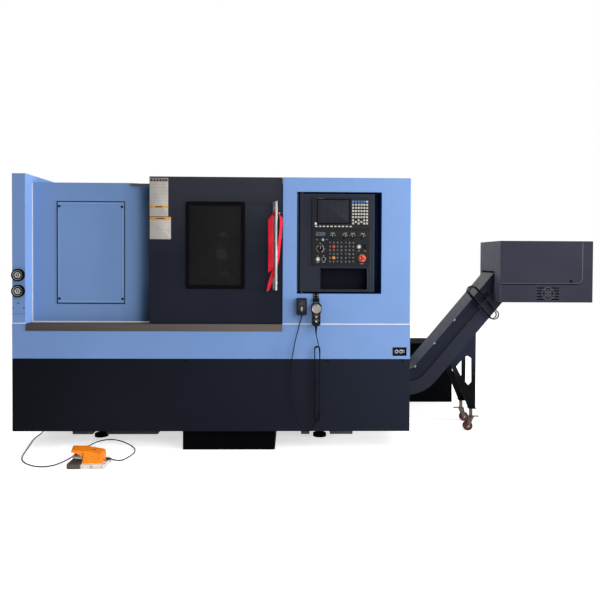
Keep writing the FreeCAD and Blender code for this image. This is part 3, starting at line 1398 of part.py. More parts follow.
def saddle():
    x0 = CARRIAGE_X + SADDLE_LEFT
    plate = slant_box(x0, x0 + SADDLE_L, SADDLE_LOW, SADDLE_HIGH, SLIDE_GAP - BED_DROP, SADDLE_TOP)
    for rail in bed_rails(SLIDE_GAP):
        plate = plate.cut(rail)
    return join(plate, *cross_rails(0))


def turret_slide():
    middle = CARRIAGE_X + SADDLE_LEFT + SADDLE_L / 2
    low = TURRET_HOME - SLIDE_L / 2
    bottom = SADDLE_TOP + SLIDE_GAP
    top = bottom + SLIDE_T
    base = slant_box(middle - SLIDE_W / 2, middle + SLIDE_W / 2, low, low + SLIDE_L, bottom, top)
    for rail in cross_rails(SLIDE_GAP):
        grown = rail.copy()
        grown.translate(slant(0, TURRET_HOME, 0) - slant(0, 0, 0))
        base = base.cut(rail).cut(grown)
    half = TURRET_BODY_W / 2
    body = slant_box(TURRET_X, TURRET_X + TURRET_BODY_L, TURRET_HOME - half, TURRET_HOME + half, top, TURRET_BODY_TOP)
    centre = slant(TURRET_X, TURRET_HOME, 0)
    bore = rod(centre - RIGHT * SEAM, RIGHT, DISC_HUB_R + SHAFT_GAP, TURRET_BODY_L / 2)
    return join(base, body).cut(bore)


def turret_disc():
    face = TURRET_X - DISC_GAP
    centre = slant(face - DISC_T, TURRET_HOME, 0)
    corners = []
    for step in range(TOOL_STATIONS):
        angle = 2 * math.pi * (step + 0.5) / TOOL_STATIONS
        corners.append(centre + V(0, math.cos(angle), math.sin(angle)) * DISC_R)
    disc = prism(corners, (DISC_T, 0, 0))
    hub = rod(centre, RIGHT, DISC_HUB_R, DISC_T + DISC_GAP + TURRET_BODY_L / 2 - 2 * SEAM)
    holders = []
    flat = DISC_R * math.cos(math.pi / TOOL_STATIONS)
    for step in range(TOOL_STATIONS):
        length = TOOL_L if step % 2 == 0 else TOOL_L / 2
        half = TOOL_W / 2
        x0 = face - DISC_T / 2 - TOOL_T / 2
        block = box(x0, x0 + TOOL_T, -half, half, flat - SEAM, flat + length)
        block.rotate(V(0, 0, 0), RIGHT, 360.0 * step / TOOL_STATIONS)
        block.translate(V(0, centre.y, centre.z))
        holders.append(block)
    return join(disc, hub, *holders)


def tailstock():
    x0 = TAILSTOCK_X
    x1 = x0 + TAILSTOCK_L
    half = TAILSTOCK_W / 2
    bottom = SLIDE_GAP - BED_DROP
    base = slant_box(x0, x1, -half, half, bottom, bottom + TAILSTOCK_BASE_T)
    for rail in bed_rails(SLIDE_GAP):
        base = base.cut(rail)
    neck_half = TAILSTOCK_NECK_W / 2
    neck = slant_box(x0, x1, -neck_half, neck_half, bottom + TAILSTOCK_BASE_T, 0)
    barrel = axis_drum(x0, TAILSTOCK_R, TAILSTOCK_L)
    bore = axis_drum(x0 - SEAM, QUILL_R + SHAFT_GAP, TAILSTOCK_L + 2 * SEAM)
    return join(base, neck, barrel).cut(bore)


def quill():
    nose = TAILSTOCK_X - QUILL_OUT
    sleeve = axis_drum(nose, QUILL_R, QUILL_OUT + QUILL_IN)
    middle = nose - CENTRE_L / 2
    shank = tapered(0, 0, CENTRE_R, CENTRE_R, CENTRE_SIDES, 0, CENTRE_L / 2)
    point = tapered(0, 0, CENTRE_R, SEAM, CENTRE_SIDES, 0, CENTRE_L / 2)
    for piece, x in ((shank, nose), (point, middle)):
        piece.rotate(V(0, 0, 0), V(0, 0, 1), -90)
        piece.translate(V(x, AXIS_Y, AXIS_Z))
    return join(sleeve, shank, point)


# --- chip conveyor ---
def cleat():
    """The strap that holds the waist of the spare cable against the lid's side."""
    out_y = TROUGH_Y - CLEAT_REACH
    half = CLEAT_HALF + CLEAT_T
    bar = box(-CLEAT_W, CLEAT_W, out_y, out_y + CLEAT_T, -half, half)
    legs = []
    for z in (-half, CLEAT_HALF):
        legs.append(box(-CLEAT_W, CLEAT_W, out_y, TROUGH_Y, z, z + CLEAT_T))
    strap = join(bar, *legs)
    strap.rotate(V(0, 0, 0), FRONT, HANK_ANGLE)
    strap.translate(V(HANK_X, 0, HANK_Z))
    return strap


def conveyor_trough():
    y1 = TROUGH_END_Y
    outer = conveyor_band(TROUGH_X, INCLINE_L, 0, TROUGH_H, TROUGH_Y, y1)
    inner = conveyor_band(TROUGH_X - SEAM, INCLINE_L + SEAM, TROUGH_T, TROUGH_H + SEAM, TROUGH_Y + TROUGH_T,
                          y1 - TROUGH_T)
    flange_low = TROUGH_H - TROUGH_T
    near = conveyor_band(LID_X, flange_length(), flange_low, TROUGH_H, TROUGH_Y - TROUGH_FLANGE, TROUGH_Y)
    far = conveyor_band(LID_X, flange_length(), flange_low, TROUGH_H, y1, y1 + TROUGH_FLANGE)
    centre = conveyor_point(INCLINE_L - DRIVE_BACK, DRIVE_H)
    bearing = rod((centre.x, TROUGH_Y - SEAM, centre.z), (0, 1, 0), DRIVE_SHAFT_R + SLIDE_GAP, TROUGH_W + 2 * SEAM)
    return join(outer.cut(inner), near, far).cut(bearing)


def flange_length():
    """How far up the incline the side flanges run before the head box."""
    angle = math.radians(BEND_ANGLE)
    start = conveyor_point(0, 0).x
    return (HEAD_X - CONSOLE_GAP - start) / math.cos(angle)


def conveyor_lid():
    low = TROUGH_H
    high = TROUGH_H + LID_H
    y1 = TROUGH_END_Y
    outer = conveyor_band(LID_X, INCLINE_L, low, high, TROUGH_Y, y1)
    inner = conveyor_band(LID_X - SEAM, INCLINE_L + SEAM, low - SEAM, high - SHEET, TROUGH_Y + SHEET, y1 - SHEET)
    grommets = []
    for x, z in cable_ports():
        grommets.append(many_sided(x, z, GROMMET_R, POST_SIDES, TROUGH_Y, GROMMET_T))
    return join(outer.cut(inner), *grommets, cleat())


def head_box():
    x1 = HEAD_X + HEAD_W
    y1 = HEAD_Y + HEAD_D
    z1 = HEAD_Z + HEAD_H
    outer = box(HEAD_X, x1, HEAD_Y, y1, HEAD_Z, z1)
    inner = box(HEAD_X + SHEET, x1 - SHEET, HEAD_Y + SHEET, y1 - SHEET, HEAD_Z + SHEET, z1 - SHEET)
    throat = conveyor_band(LID_X, INCLINE_L + HEAD_FIT, -HEAD_FIT, TROUGH_H + LID_H + HEAD_FIT, TROUGH_Y - HEAD_FIT,
                           TROUGH_END_Y + HEAD_FIT)
    exit_hole = box(DISCHARGE_X, DISCHARGE_X + DISCHARGE_W, HEAD_Y + DISCHARGE_MARGIN, y1 - DISCHARGE_MARGIN,
                    HEAD_Z - SEAM, HEAD_Z + SHEET + SEAM)
    plate_x1 = HEAD_X + HEAD_PLATE_W
    plate_top = z1 - HEAD_PLATE_MARGIN
    plate = box(HEAD_X + HEAD_PLATE_MARGIN, plate_x1, HEAD_Y - HEAD_PLATE_T, HEAD_Y, HEAD_PLATE_Z, plate_top)
    plate = round_edges(plate, HEAD_PLATE_R, FRONT, lambda m: m.x > plate_x1 - SEAM and m.z < HEAD_PLATE_Z + SEAM)
    head = join(outer.cut(inner), plate).cut(throat).cut(exit_hole)
    for step in range(LOUVERS):
        z = LOUVER_Z + step * LOUVER_PITCH
        head = head.cut(box(LOUVER_X, LOUVER_X + LOUVER_W, HEAD_Y - SEAM, HEAD_Y + SHEET + SEAM, z, z + LOUVER_H))
    return head


def drive_shaft():
    centre = conveyor_point(INCLINE_L - DRIVE_BACK, DRIVE_H)
    y0 = TROUGH_Y - TROUGH_FLANGE
    shaft = post((centre.x, y0, centre.z), (0, 1, 0), DRIVE_SHAFT_R, TROUGH_W + 2 * TROUGH_FLANGE)
    sprockets = []
    for y in (TROUGH_Y + SPROCKET_INSET, TROUGH_END_Y - SPROCKET_INSET - SPROCKET_T):
        corners = []
        for step in range(SPROCKET_TEETH):
            for share, radius in ((0.0, SPROCKET_ROOT_R), (0.3, SPROCKET_R), (0.55, SPROCKET_R)):
                angle = 2 * math.pi * (step + share) / SPROCKET_TEETH
                corners.append((centre.x + radius * math.cos(angle), y, centre.z + radius * math.sin(angle)))
        sprockets.append(prism(corners, (0, SPROCKET_T, 0)))
    return join(shaft, *sprockets)


def lower_edge_z(x):
    """The height of the conveyor's lower edge on the incline."""
    start = conveyor_point(0, 0)
    return start.z + (x - start.x) * math.tan(math.radians(BEND_ANGLE))


def conveyor_leg():
    right = LEG_X + LEG_W
    outline = [(LEG_X, LEG_Z), (right, LEG_Z), (right, lower_edge_z(right)), (LEG_TOP_X, lower_edge_z(LEG_TOP_X))]
    rows = (TROUGH_Y, TROUGH_END_Y - LEG_T)
    window = [(BODY_W + x, z) for x, z in LEG_WINDOW]
    plates = []
    for y in rows:
        plate = side_plate(outline, y, y + LEG_T)
        plates.append(plate.cut(side_plate(window, y - SEAM, y + LEG_T + SEAM)))
    tie_z = LEG_Z + LEG_W
    tie = box(right - LEG_T, right, TROUGH_Y, TROUGH_END_Y, LEG_Z, tie_z)
    feet = []
    for y in caster_rows():
        foot = box(LEG_X, right, y - LEG_W / 2, y + LEG_W / 2, LEG_Z - LEG_FOOT_H, LEG_Z)
        hole = rod((CASTER_STEM_X, y, LEG_Z - LEG_FOOT_H - SEAM), (0, 0, 1), STEM_R + SHAFT_GAP, LEG_FOOT_H + 2 * SEAM)
        feet.append(foot.cut(hole))
    return join(*plates, tie, *feet)


def caster_rows():
    return (TROUGH_Y + LEG_T / 2, TROUGH_END_Y - LEG_T / 2)


def caster_fork(y, side):
    """A swivel fork; side is -1 where the wheel trails to the left and 1 where it trails to the right."""
    axle_x = CASTER_STEM_X + side * CASTER_TRAIL
    under = LEG_Z - LEG_FOOT_H - SLIDE_GAP
    half = FORK_W / 2
    crown = box(CASTER_STEM_X - half, CASTER_STEM_X + half, y - half, y + half, FORK_TOP - FORK_T, FORK_TOP)
    neck = box(CASTER_STEM_X - half / 2, CASTER_STEM_X + half / 2, y - half / 2, y + half / 2, FORK_TOP, under)
    stem = post((CASTER_STEM_X, y, under - SEAM), (0, 0, 1), STEM_R, LEG_Z - under + SEAM)
    cheek_y = CASTER_W / 2 + CASTER_HUB_GAP
    cheeks = []
    for y0 in (y - cheek_y - FORK_T, y + cheek_y):
        low_half = 2 * CASTER_AXLE_R
        outline = [(CASTER_STEM_X - half, FORK_TOP), (CASTER_STEM_X + half, FORK_TOP),
                   (axle_x + low_half, CASTER_R - low_half), (axle_x - low_half, CASTER_R - low_half)]
        cheeks.append(side_plate(outline, y0, y0 + FORK_T))
    axle = post((axle_x, y - cheek_y - SEAM, CASTER_R), (0, 1, 0), CASTER_AXLE_R, 2 * (cheek_y + SEAM))
    brake_x = CASTER_STEM_X - side * half
    brake_end = brake_x - side * BRAKE_L
    brake = box(min(brake_x, brake_end) - SEAM, max(brake_x, brake_end) + SEAM, y - BRAKE_W / 2, y + BRAKE_W / 2,
                FORK_TOP - FORK_T, FORK_TOP - FORK_T + BRAKE_T)
    return join(crown, neck, stem, axle, brake, *cheeks)


def caster_wheel(y, side):
    axle_x = CASTER_STEM_X + side * CASTER_TRAIL
    tyre = post((axle_x, y - CASTER_W / 2, CASTER_R), (0, 1, 0), CASTER_R, CASTER_W, DRUM_SIDES)
    return tyre.cut(rod((axle_x, y - CASTER_W, CASTER_R), (0, 1, 0), CASTER_AXLE_R + SHAFT_GAP, 2 * CASTER_W))


def coolant_tanks():
    front = rounded_box(TANK_X, TANK_X + TANK_W, TANK_Y, TANK_Y + TANK_D, 0, TANK_H, TANK_EDGE_R, V(0, 0, 1))
    x0 = BODY_W + REAR_TANK_GAP
    x1 = x0 + REAR_TANK_W
    y1 = REAR_TANK_Y + REAR_TANK_D
    inset = TANK_LIP
    rear = box(x0 + inset, x1 - inset, REAR_TANK_Y + inset, y1 - inset, 0, REAR_TANK_H)
    lip = box(x0, x1, REAR_TANK_Y, y1, REAR_TANK_H - TANK_LIP_H, REAR_TANK_H)
    return group(front, join(rear, lip))


# --- foot pedal ---
def pedal_base():
    x1 = PEDAL_X + PEDAL_W
    y1 = PEDAL_Y + PEDAL_D
    base = rounded_box(PEDAL_X, x1, PEDAL_Y, y1, 0, PEDAL_BASE_H, PEDAL_R, V(0, 0, 1))
    inner = PEDAL_HOOD_SIDE + PEDAL_HOOD_T + SLIDE_GAP
    half = TREAD_EAR_R
    ears = []
    for y in (PEDAL_Y + inner, y1 - inner - FORK_T):
        ears.append(box(TREAD_PIN_X - half, TREAD_PIN_X + half, y, y + FORK_T, PEDAL_BASE_H - SEAM, TREAD_PIN_Z + half))
    reach = PEDAL_D - 2 * inner - 2 * SEAM
    pin = post((TREAD_PIN_X, PEDAL_Y + inner + SEAM, TREAD_PIN_Z), (0, 1, 0), TREAD_PIN_R, reach)
    return join(base, *ears, pin)


def hood_outline(inset):
    """The hood from the side: a rounded back and a canopy over the toe opening."""
    tip_x = PEDAL_X - PEDAL_HOOD_T
    back = PEDAL_HOOD_BACK_X - inset
    tip_z = PEDAL_HOOD_TIP_Z - inset
    return [(PEDAL_HOOD_SIDE_X, PEDAL_BASE_H), (back, PEDAL_BASE_H), (back, PEDAL_HOOD_BACK_Z - 2 * PEDAL_HOOD_R),
            (back - PEDAL_HOOD_R, PEDAL_HOOD_BACK_Z - inset), (PEDAL_HOOD_SIDE_X, tip_z), (tip_x, tip_z),
            (tip_x, PEDAL_HOOD_TIP_Z - PEDAL_HOOD_TIP_T)]


def pedal_hood():
    y0 = PEDAL_Y + PEDAL_HOOD_SIDE
    y1 = PEDAL_Y + PEDAL_D - PEDAL_HOOD_SIDE
    outer = side_plate(hood_outline(0), y0, y1)
    outer = round_edges(outer, PEDAL_HOOD_R / 2, RIGHT, lambda middle: middle.z > PEDAL_HOOD_BACK_Z)
    inner = side_plate(hood_outline(PEDAL_HOOD_T), y0 + PEDAL_HOOD_T, y1 - PEDAL_HOOD_T)
    floor_cut = box(PEDAL_HOOD_SIDE_X - PEDAL_HOOD_T, PEDAL_HOOD_BACK_X - PEDAL_HOOD_T, y0 + PEDAL_HOOD_T,
                    y1 - PEDAL_HOOD_T, 0, PEDAL_BASE_H + SHEET)
    gland_start = (PEDAL_HOOD_BACK_X, PEDAL_MID_Y, PEDAL_CORD[-1][2])
    gland = post(gland_start, RIGHT, GLAND_R, GLAND_H)
    return join(outer.cut(inner).cut(floor_cut), gland)


def pedal_tread():
    inner = PEDAL_HOOD_SIDE + PEDAL_HOOD_T + SLIDE_GAP + FORK_T + SEAM
    y0 = PEDAL_Y + inner
    y1 = PEDAL_Y + PEDAL_D - inner
    plate = box(TREAD_PIN_X - TREAD_L, TREAD_PIN_X, y0, y1, TREAD_PIN_Z - TREAD_T / 2, TREAD_PIN_Z + TREAD_T / 2)
    plate = round_edges(plate, 2 * TREAD_RISE, V(0, 0, 1), lambda middle: middle.x < TREAD_PIN_X - TREAD_T)
    barrel = post((TREAD_PIN_X, y0, TREAD_PIN_Z), (0, 1, 0), TREAD_EAR_R, y1 - y0)
    bore = rod((TREAD_PIN_X, y0 - SEAM, TREAD_PIN_Z), (0, 1, 0), TREAD_PIN_R + SHAFT_GAP, y1 - y0 + 2 * SEAM)
    ribs = []
    for step in range(TREAD_RIBS):
        x = TREAD_PIN_X - TREAD_L + (step + 1) * TREAD_RIB_PITCH
        ribs.append(box(x, x + SHEET, y0 + TREAD_SIDE_GAP, y1 - TREAD_SIDE_GAP, TREAD_PIN_Z, TREAD_PIN_Z + TREAD_RISE))
    tread = join(plate, barrel, *ribs).cut(bore)
    tread.rotate(V(TREAD_PIN_X, 0, TREAD_PIN_Z), V(0, 1, 0), TREAD_RISE)
    return tread


# --- cords ---
def pedal_cord():
    return tube("pedal cord", PEDAL_CORD, CORD_D)


def heading_at(angle):
    return V(math.cos(math.radians(angle)), 0, math.sin(math.radians(angle)))


def beside(centre, angle, along, across, y):
    """A point by its distance along a direction in the X-Z plane and square to it."""
    ahead = heading_at(angle)
    return V(centre.x + along * ahead.x - across * ahead.z, y, centre.z + along * ahead.z + across * ahead.x)


def hank_stations(centre, angle, half, loops, y, pitch):
    """Flat elongated loops, each a layer further to the front; a loop gives its radius, stretch and lean."""
    stations = []
    for turn, (radius, stretch, lean) in enumerate(loops):
        ahead = heading_at(angle + lean)
        reach = half + stretch
        stations.append((beside(centre, angle + lean, reach, radius, y), ahead))
        stations.append((beside(centre, angle + lean, reach, -radius, y), ahead * -1))
        if turn + 1 < len(loops):
            stations.append((beside(centre, angle + lean, -reach, -radius, y), ahead * -1))
            y -= pitch
            next_radius, next_stretch, next_lean = loops[turn + 1]
            place = beside(centre, angle + next_lean, -half - next_stretch, next_radius, y)
            stations.append((place, heading_at(angle + next_lean)))
    return stations


def pendant_cord():
    """One unbroken cord: a lead, the spare length folded into a hanging bundle, and a lead back up to the plug."""
    centre = V(BUNDLE_X, 0, BUNDLE_Z)
    upper = route_edges("pendant cord, upper", PENDANT_UPPER)
    lower = route_edges("pendant cord, lower", PENDANT_LOWER)
    first_y = PENDANT_UPPER[-1][1]
    last_y = first_y - len(BUNDLE_LOOPS) * LAYER_PITCH
    bend_r, stretch, lean = BUNDLE_LOOPS[-1]
    stations = [(V(*PENDANT_UPPER[-1]), DOWN)]
    stations += hank_stations(centre, -90, BUNDLE_HALF, BUNDLE_LOOPS, first_y, LAYER_PITCH)
    stations.append((beside(centre, -90, -BUNDLE_HALF, -bend_r, last_y + LAYER_PITCH), DOWN * -1))
    stations.append((beside(centre, -90, -BUNDLE_HALF, BUNDLE_LAST_R, last_y), DOWN))
    stations.append((beside(centre, -90, BUNDLE_HALF * BUNDLE_EXIT, BUNDLE_LAST_R, last_y), DOWN))
    leaving = (V(*PENDANT_LOWER[1]) - V(*PENDANT_LOWER[0])).normalize()
    stations.append((V(*PENDANT_LOWER[0]), leaving))
    edges = upper + stations_to_edges(stations) + lower
    print_self_gap("pendant cord", edges, PENDANT_CORD_D, 4 * BUNDLE_LAST_R)
    start = V(*PENDANT_UPPER[0])
    heading = (V(*PENDANT_UPPER[1]) - start).normalize()
    return sweep("pendant cord", edges, start, heading, PENDANT_CORD_D)


def cord_tie():
    """The band round the strands of the folded cord."""
    half = max(loop[0] for loop in BUNDLE_LOOPS) + PENDANT_CORD_D / 2 + TIE_GAP
    back = PENDANT_UPPER[-1][1] + PENDANT_CORD_D / 2 + TIE_GAP
    front = PENDANT_UPPER[-1][1] - len(BUNDLE_LOOPS) * LAYER_PITCH - PENDANT_CORD_D / 2 - TIE_GAP
    low = BUNDLE_Z - TIE_H / 2
    outer = box(BUNDLE_X - half - TIE_T, BUNDLE_X + half + TIE_T, front - TIE_T, back + TIE_T, low, low + TIE_H)
    return outer.cut(box(BUNDLE_X - half, BUNDLE_X + half, front, back, low - SEAM, low + TIE_H + SEAM))


def cable_ports():
    """Where the spare cable leaves and enters the lid's side."""
    second = beside(V(HANK_X, 0, HANK_Z), HANK_ANGLE, SECOND_GROMMET_ALONG, SECOND_GROMMET_ACROSS, 0)
    return ((GROMMET_X, GROMMET_Z), (second.x, second.z))


def conveyor_cable():
    """Spare cable folded into a flat hank of loops beside the conveyor, with both ends in its side."""
    face = TROUGH_Y - GROMMET_T
    heading = heading_at(HANK_ANGLE)
    centre = V(HANK_X, 0, HANK_Z)
    port = V(GROMMET_X, face, GROMMET_Z)
    clear = port + FRONT * CABLE_D
    stations = [(port, FRONT), (clear, FRONT), (clear + (FRONT + heading) * HANK_TURN, heading)]
    y = clear.y - HANK_TURN
    stations.append((beside(centre, HANK_ANGLE, HANK_HALF * HANK_JOIN, HANK_LOOPS[0][0], y), heading))
    stations += hank_stations(centre, HANK_ANGLE, HANK_HALF, HANK_LOOPS, y, HANK_PITCH)
    port_x, port_z = cable_ports()[1]
    second = V(port_x, face, port_z)
    clear = second + FRONT * CABLE_D
    last_y = y - (len(HANK_LOOPS) - 1) * HANK_PITCH
    beside_hank = beside(centre, HANK_ANGLE, HANK_HALF * HANK_LEAVE, SECOND_GROMMET_ACROSS, last_y)
    stations.append((beside_hank, heading * -1))
    stations.append((clear + (FRONT + heading) * HANK_TURN, heading * -1))
    stations += [(clear, FRONT * -1), (second, FRONT * -1)]
    edges = stations_to_edges(stations)
    print_self_gap("conveyor cable", edges, CABLE_D, 8 * CABLE_D)
    return sweep("conveyor cable", edges, port, FRONT, CABLE_D)


NODES = {
    "bed_casting": bed_casting,
    "levelling_feet": levelling_feet,
    "base_panels": base_panels,
    "front_band": front_band,
    "left_end_cover": left_end_cover,
    "headstock_cover": headstock_cover,
    "access_panel": access_panel,
    "column_shell": column_shell,
    "rear_enclosure": rear_enclosure,
    "cabinet_door": cabinet_door,
    "work_area_liner": work_area_liner,
    "pressure_gauges": pressure_gauges,
    "door_tracks": door_tracks,
    "door_shell": door_shell,
    "door_glass": door_glass,
    "door_handle": door_handle,
    "door_ribbon": door_ribbon,
    "console_box": console_box,
    "cnc_unit": cnc_unit,
    "operator_panel": operator_panel,
    "panel_keys": panel_keys,
    "start_button": lambda: push_button(BUTTON_X[0]),
    "hold_button": lambda: push_button(BUTTON_X[1]),
    "emergency_stop": emergency_stop,
    "key_switch": key_switch,
    "override_dial": override_dial,
    "pendant_body": pendant_body,
    "hand_wheel": hand_wheel,
    "pendant_axis_knob": lambda: pendant_knob(PENDANT_KNOB_Z[0]),
    "pendant_step_knob": lambda: pendant_knob(PENDANT_KNOB_Z[1]),
    "socket_hood": socket_hood,
    "pendant_plug": pendant_plug,
    "headstock_casting": headstock_casting,
    "spindle": spindle,
    "chuck_body": chuck_body,
    "chuck_jaw_1": lambda: chuck_jaw(0),
    "chuck_jaw_2": lambda: chuck_jaw(1),
    "chuck_jaw_3": lambda: chuck_jaw(2),
    "saddle": saddle,
    "turret_slide": turret_slide,
    "turret_disc": turret_disc,
    "tailstock": tailstock,
    "quill": quill,
    "conveyor_trough": conveyor_trough,
    "conveyor_lid": conveyor_lid,
    "conveyor_head_box": head_box,
    "conveyor_drive_shaft": drive_shaft,
    "conveyor_leg": conveyor_leg,
    "caster_fork_front": lambda: caster_fork(caster_rows()[0], -1),
    "caster_fork_rear": lambda: caster_fork(caster_rows()[1], 1),
    "caster_wheel_front": lambda: caster_wheel(caster_rows()[0], -1),
    "caster_wheel_rear": lambda: caster_wheel(caster_rows()[1], 1),
    "coolant_tanks": coolant_tanks,
    "pedal_base": pedal_base,
    "pedal_hood": pedal_hood,
    "pedal_tread": pedal_tread,
    "pedal_cord": pedal_cord,
    "pendant_cord": pendant_cord,
    "cord_tie": cord_tie,
    "conveyor_cable": conveyor_cable,
}

os.makedirs("parts", exist_ok=True)
for node_name, make in NODES.items():
    shape = make()
    shape.translate(V(-ORIGIN_X, -ORIGIN_Y, 0))
    shape.exportStep("parts/%s.step" % node_name)
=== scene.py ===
import math

import bmesh
import bpy
from mathutils import Matrix, Vector


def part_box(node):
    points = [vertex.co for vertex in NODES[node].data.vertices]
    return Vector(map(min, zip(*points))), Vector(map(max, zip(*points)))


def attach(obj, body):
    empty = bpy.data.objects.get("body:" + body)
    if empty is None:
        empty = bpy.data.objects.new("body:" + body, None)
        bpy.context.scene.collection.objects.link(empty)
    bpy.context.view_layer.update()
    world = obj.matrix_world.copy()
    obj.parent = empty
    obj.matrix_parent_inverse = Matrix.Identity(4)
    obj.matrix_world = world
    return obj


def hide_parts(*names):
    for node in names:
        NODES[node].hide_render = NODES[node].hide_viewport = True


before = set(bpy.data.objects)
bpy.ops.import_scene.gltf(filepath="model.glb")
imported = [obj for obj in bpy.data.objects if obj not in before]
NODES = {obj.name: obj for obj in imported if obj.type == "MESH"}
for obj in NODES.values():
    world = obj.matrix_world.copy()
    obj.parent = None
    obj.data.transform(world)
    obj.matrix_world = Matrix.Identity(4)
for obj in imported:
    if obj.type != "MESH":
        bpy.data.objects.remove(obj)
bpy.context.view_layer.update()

LEFT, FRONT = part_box("base_panels")[0][:2]


def at(x, y, z):
    """A place given in millimetres from the machine's left front foot, in the model's frame."""
    return Vector((LEFT + x / 1000, FRONT + y / 1000, z / 1000))


def cos_sin(angle):
    """Of an angle in degrees."""
    return math.cos(math.radians(angle)), math.sin(math.radians(angle))


def placed(name, data):
    """An object of the scene."""
    obj = bpy.data.objects.new(name, data)
    bpy.context.scene.collection.objects.link(obj)
    return obj


# --- camera, fitted to the photograph's straight edges ---
CAMERA_AT = (1930.48, -4200, 1341.05)
YAW, PITCH, ROLL = 0.0209, 0.0168, 0.005
FOCAL_PX, CENTRE_PX, PICTURE_PX = 605.55, (305.59, 268.69), 600
SENSOR_MM = 36


def place_camera():
    """Stands the camera where the photograph's was."""
    ahead = Vector((math.sin(YAW) * math.cos(PITCH), math.cos(YAW) * math.cos(PITCH), -math.sin(PITCH)))
    level = Vector((math.cos(YAW), -math.sin(YAW), 0))
    upright = level.cross(ahead)
    right = math.cos(ROLL) * level + math.sin(ROLL) * upright
    up = -math.sin(ROLL) * level + math.cos(ROLL) * upright
    lens = bpy.data.cameras.new("camera")
    lens.sensor_fit, lens.sensor_width = "HORIZONTAL", SENSOR_MM
    lens.lens = SENSOR_MM * FOCAL_PX / PICTURE_PX
    lens.shift_x = (PICTURE_PX / 2 - CENTRE_PX[0]) / PICTURE_PX
    lens.shift_y = (CENTRE_PX[1] - PICTURE_PX / 2) / PICTURE_PX
    camera = placed("camera", lens)
    turn = Matrix((right, up, -ahead)).transposed().to_4x4()
    camera.matrix_world = Matrix.Translation(at(*CAMERA_AT)) @ turn
    bpy.context.scene.camera = camera


place_camera()
bpy.context.scene.view_settings.view_transform = "Standard"


# --- materials ---
PALETTE = []
NOISE_RANGE = (0.3, 0.7)
PATCHES, PATCH_RANGE = 40, (0.4, 0.6)
RUB_START, RUB_END, RUB_MOST = 0.99, 0.9, 0.6
EDGE, SMALL, FINE, THIN = 0.0015, 0.0008, 0.0003, 0.0001    # how far edges are softened, in metres
RUBBED_NAVY, RUBBED_GREY = (0.06, 0.065, 0.08), (0.12, 0.12, 0.13)


def fill(node, values):
    """Sets a node's inputs by their names."""
    for key, value in values.items():
        node.inputs[key].default_value = value
    return node


def noise(tree, place, scale, detail=4):
    node = fill(tree.nodes.new("ShaderNodeTexNoise"), {"Scale": scale, "Detail": detail})
    tree.links.new(place, node.inputs["Vector"])
    return node.outputs["Fac"]


def spread(tree, value, low, high, to_low, to_high):
    node = tree.nodes.new("ShaderNodeMapRange")
    fill(node, {"From Min": low, "From Max": high, "To Min": to_low, "To Max": to_high})
    tree.links.new(value, node.inputs["Value"])
    return node.outputs["Result"]


def mixed(tree, factor, first, second):
    """A colour between two, each a colour or another node's output."""
    node = tree.nodes.new("ShaderNodeMix")
    node.data_type = "RGBA"
    tree.links.new(factor, node.inputs["Factor"])
    for socket, colour in ((node.inputs[6], first), (node.inputs[7], second)):
        if isinstance(colour, tuple):
            socket.default_value = (*colour, 1)
        else:
            tree.links.new(colour, socket)
    return node.outputs[2]


def finish(name, dark, light, cloud=3, rough=(0.35, 0.5), gloss=0.22, metal=0, grain=(700, 0.00002),
           stretch=(1, 1, 1), edge=EDGE, worn=None, sheen=0, alpha=None, tint=None):
    """A surface whose colour and roughness wander, with a fine grain, softened edges and, where asked, rubbed edges.
    tint is (axis, from mm, to mm, colour): a second colour that the surface takes on between two places; most of the
    tints below are painted light or shade."""
    material = bpy.data.materials.new(name)
    material.use_nodes = True
    tree = material.node_tree
    link = tree.links.new
    shader = tree.nodes["Principled BSDF"]
    fill(shader, {"Metallic": metal, "Specular IOR Level": gloss, "Sheen Weight": sheen})
    place = tree.nodes.new("ShaderNodeTexCoord").outputs["Object"]
    mapping = fill(tree.nodes.new("ShaderNodeMapping"), {"Scale": stretch})
    link(place, mapping.inputs["Vector"])
    stretched = mapping.outputs["Vector"]
    colour = mixed(tree, spread(tree, noise(tree, stretched, cloud), *NOISE_RANGE, 0, 1), dark, light)
    if tint:
        axis, start, end, shade = tint
        parts = tree.nodes.new("ShaderNodeSeparateXYZ")
        link(place, parts.inputs["Vector"])
        low, high = (at(v, v, v)["XYZ".index(axis)] for v in (start, end))
        colour = mixed(tree, spread(tree, parts.outputs[axis], low, high, 0, 1), colour, shade)
    bevel = fill(tree.nodes.new("ShaderNodeBevel"), {"Radius": edge})
    bevel.samples = 4
    if worn:
        geometry = tree.nodes.new("ShaderNodeNewGeometry")
        turn = tree.nodes.new("ShaderNodeVectorMath")
        turn.operation = "DOT_PRODUCT"
        link(bevel.outputs["Normal"], turn.inputs[0])
        link(geometry.outputs["Normal"], turn.inputs[1])
        rubbed = spread(tree, turn.outputs["Value"], RUB_START, RUB_END, 0, RUB_MOST)
        patchy = tree.nodes.new("ShaderNodeMath")
        patchy.operation = "MULTIPLY"
        link(rubbed, patchy.inputs[0])
        link(spread(tree, noise(tree, place, PATCHES), *PATCH_RANGE, 0, 1), patchy.inputs[1])
        colour = mixed(tree, patchy.outputs["Value"], colour, worn)
    link(colour, shader.inputs["Base Color"])
    roughness = spread(tree, noise(tree, stretched, cloud * 7), *NOISE_RANGE, *rough)
    link(roughness, shader.inputs["Roughness"])
    bump = fill(tree.nodes.new("ShaderNodeBump"), {"Strength": 1, "Distance": grain[1]})
    link(noise(tree, stretched, grain[0], 2), bump.inputs["Height"])
    link(bevel.outputs["Normal"], bump.inputs["Normal"])
    link(bump.outputs["Normal"], shader.inputs["Normal"])
    if alpha:
        link(spread(tree, noise(tree, stretched, cloud), *NOISE_RANGE, *alpha), shader.inputs["Alpha"])
    PALETTE.append(material)
    return material


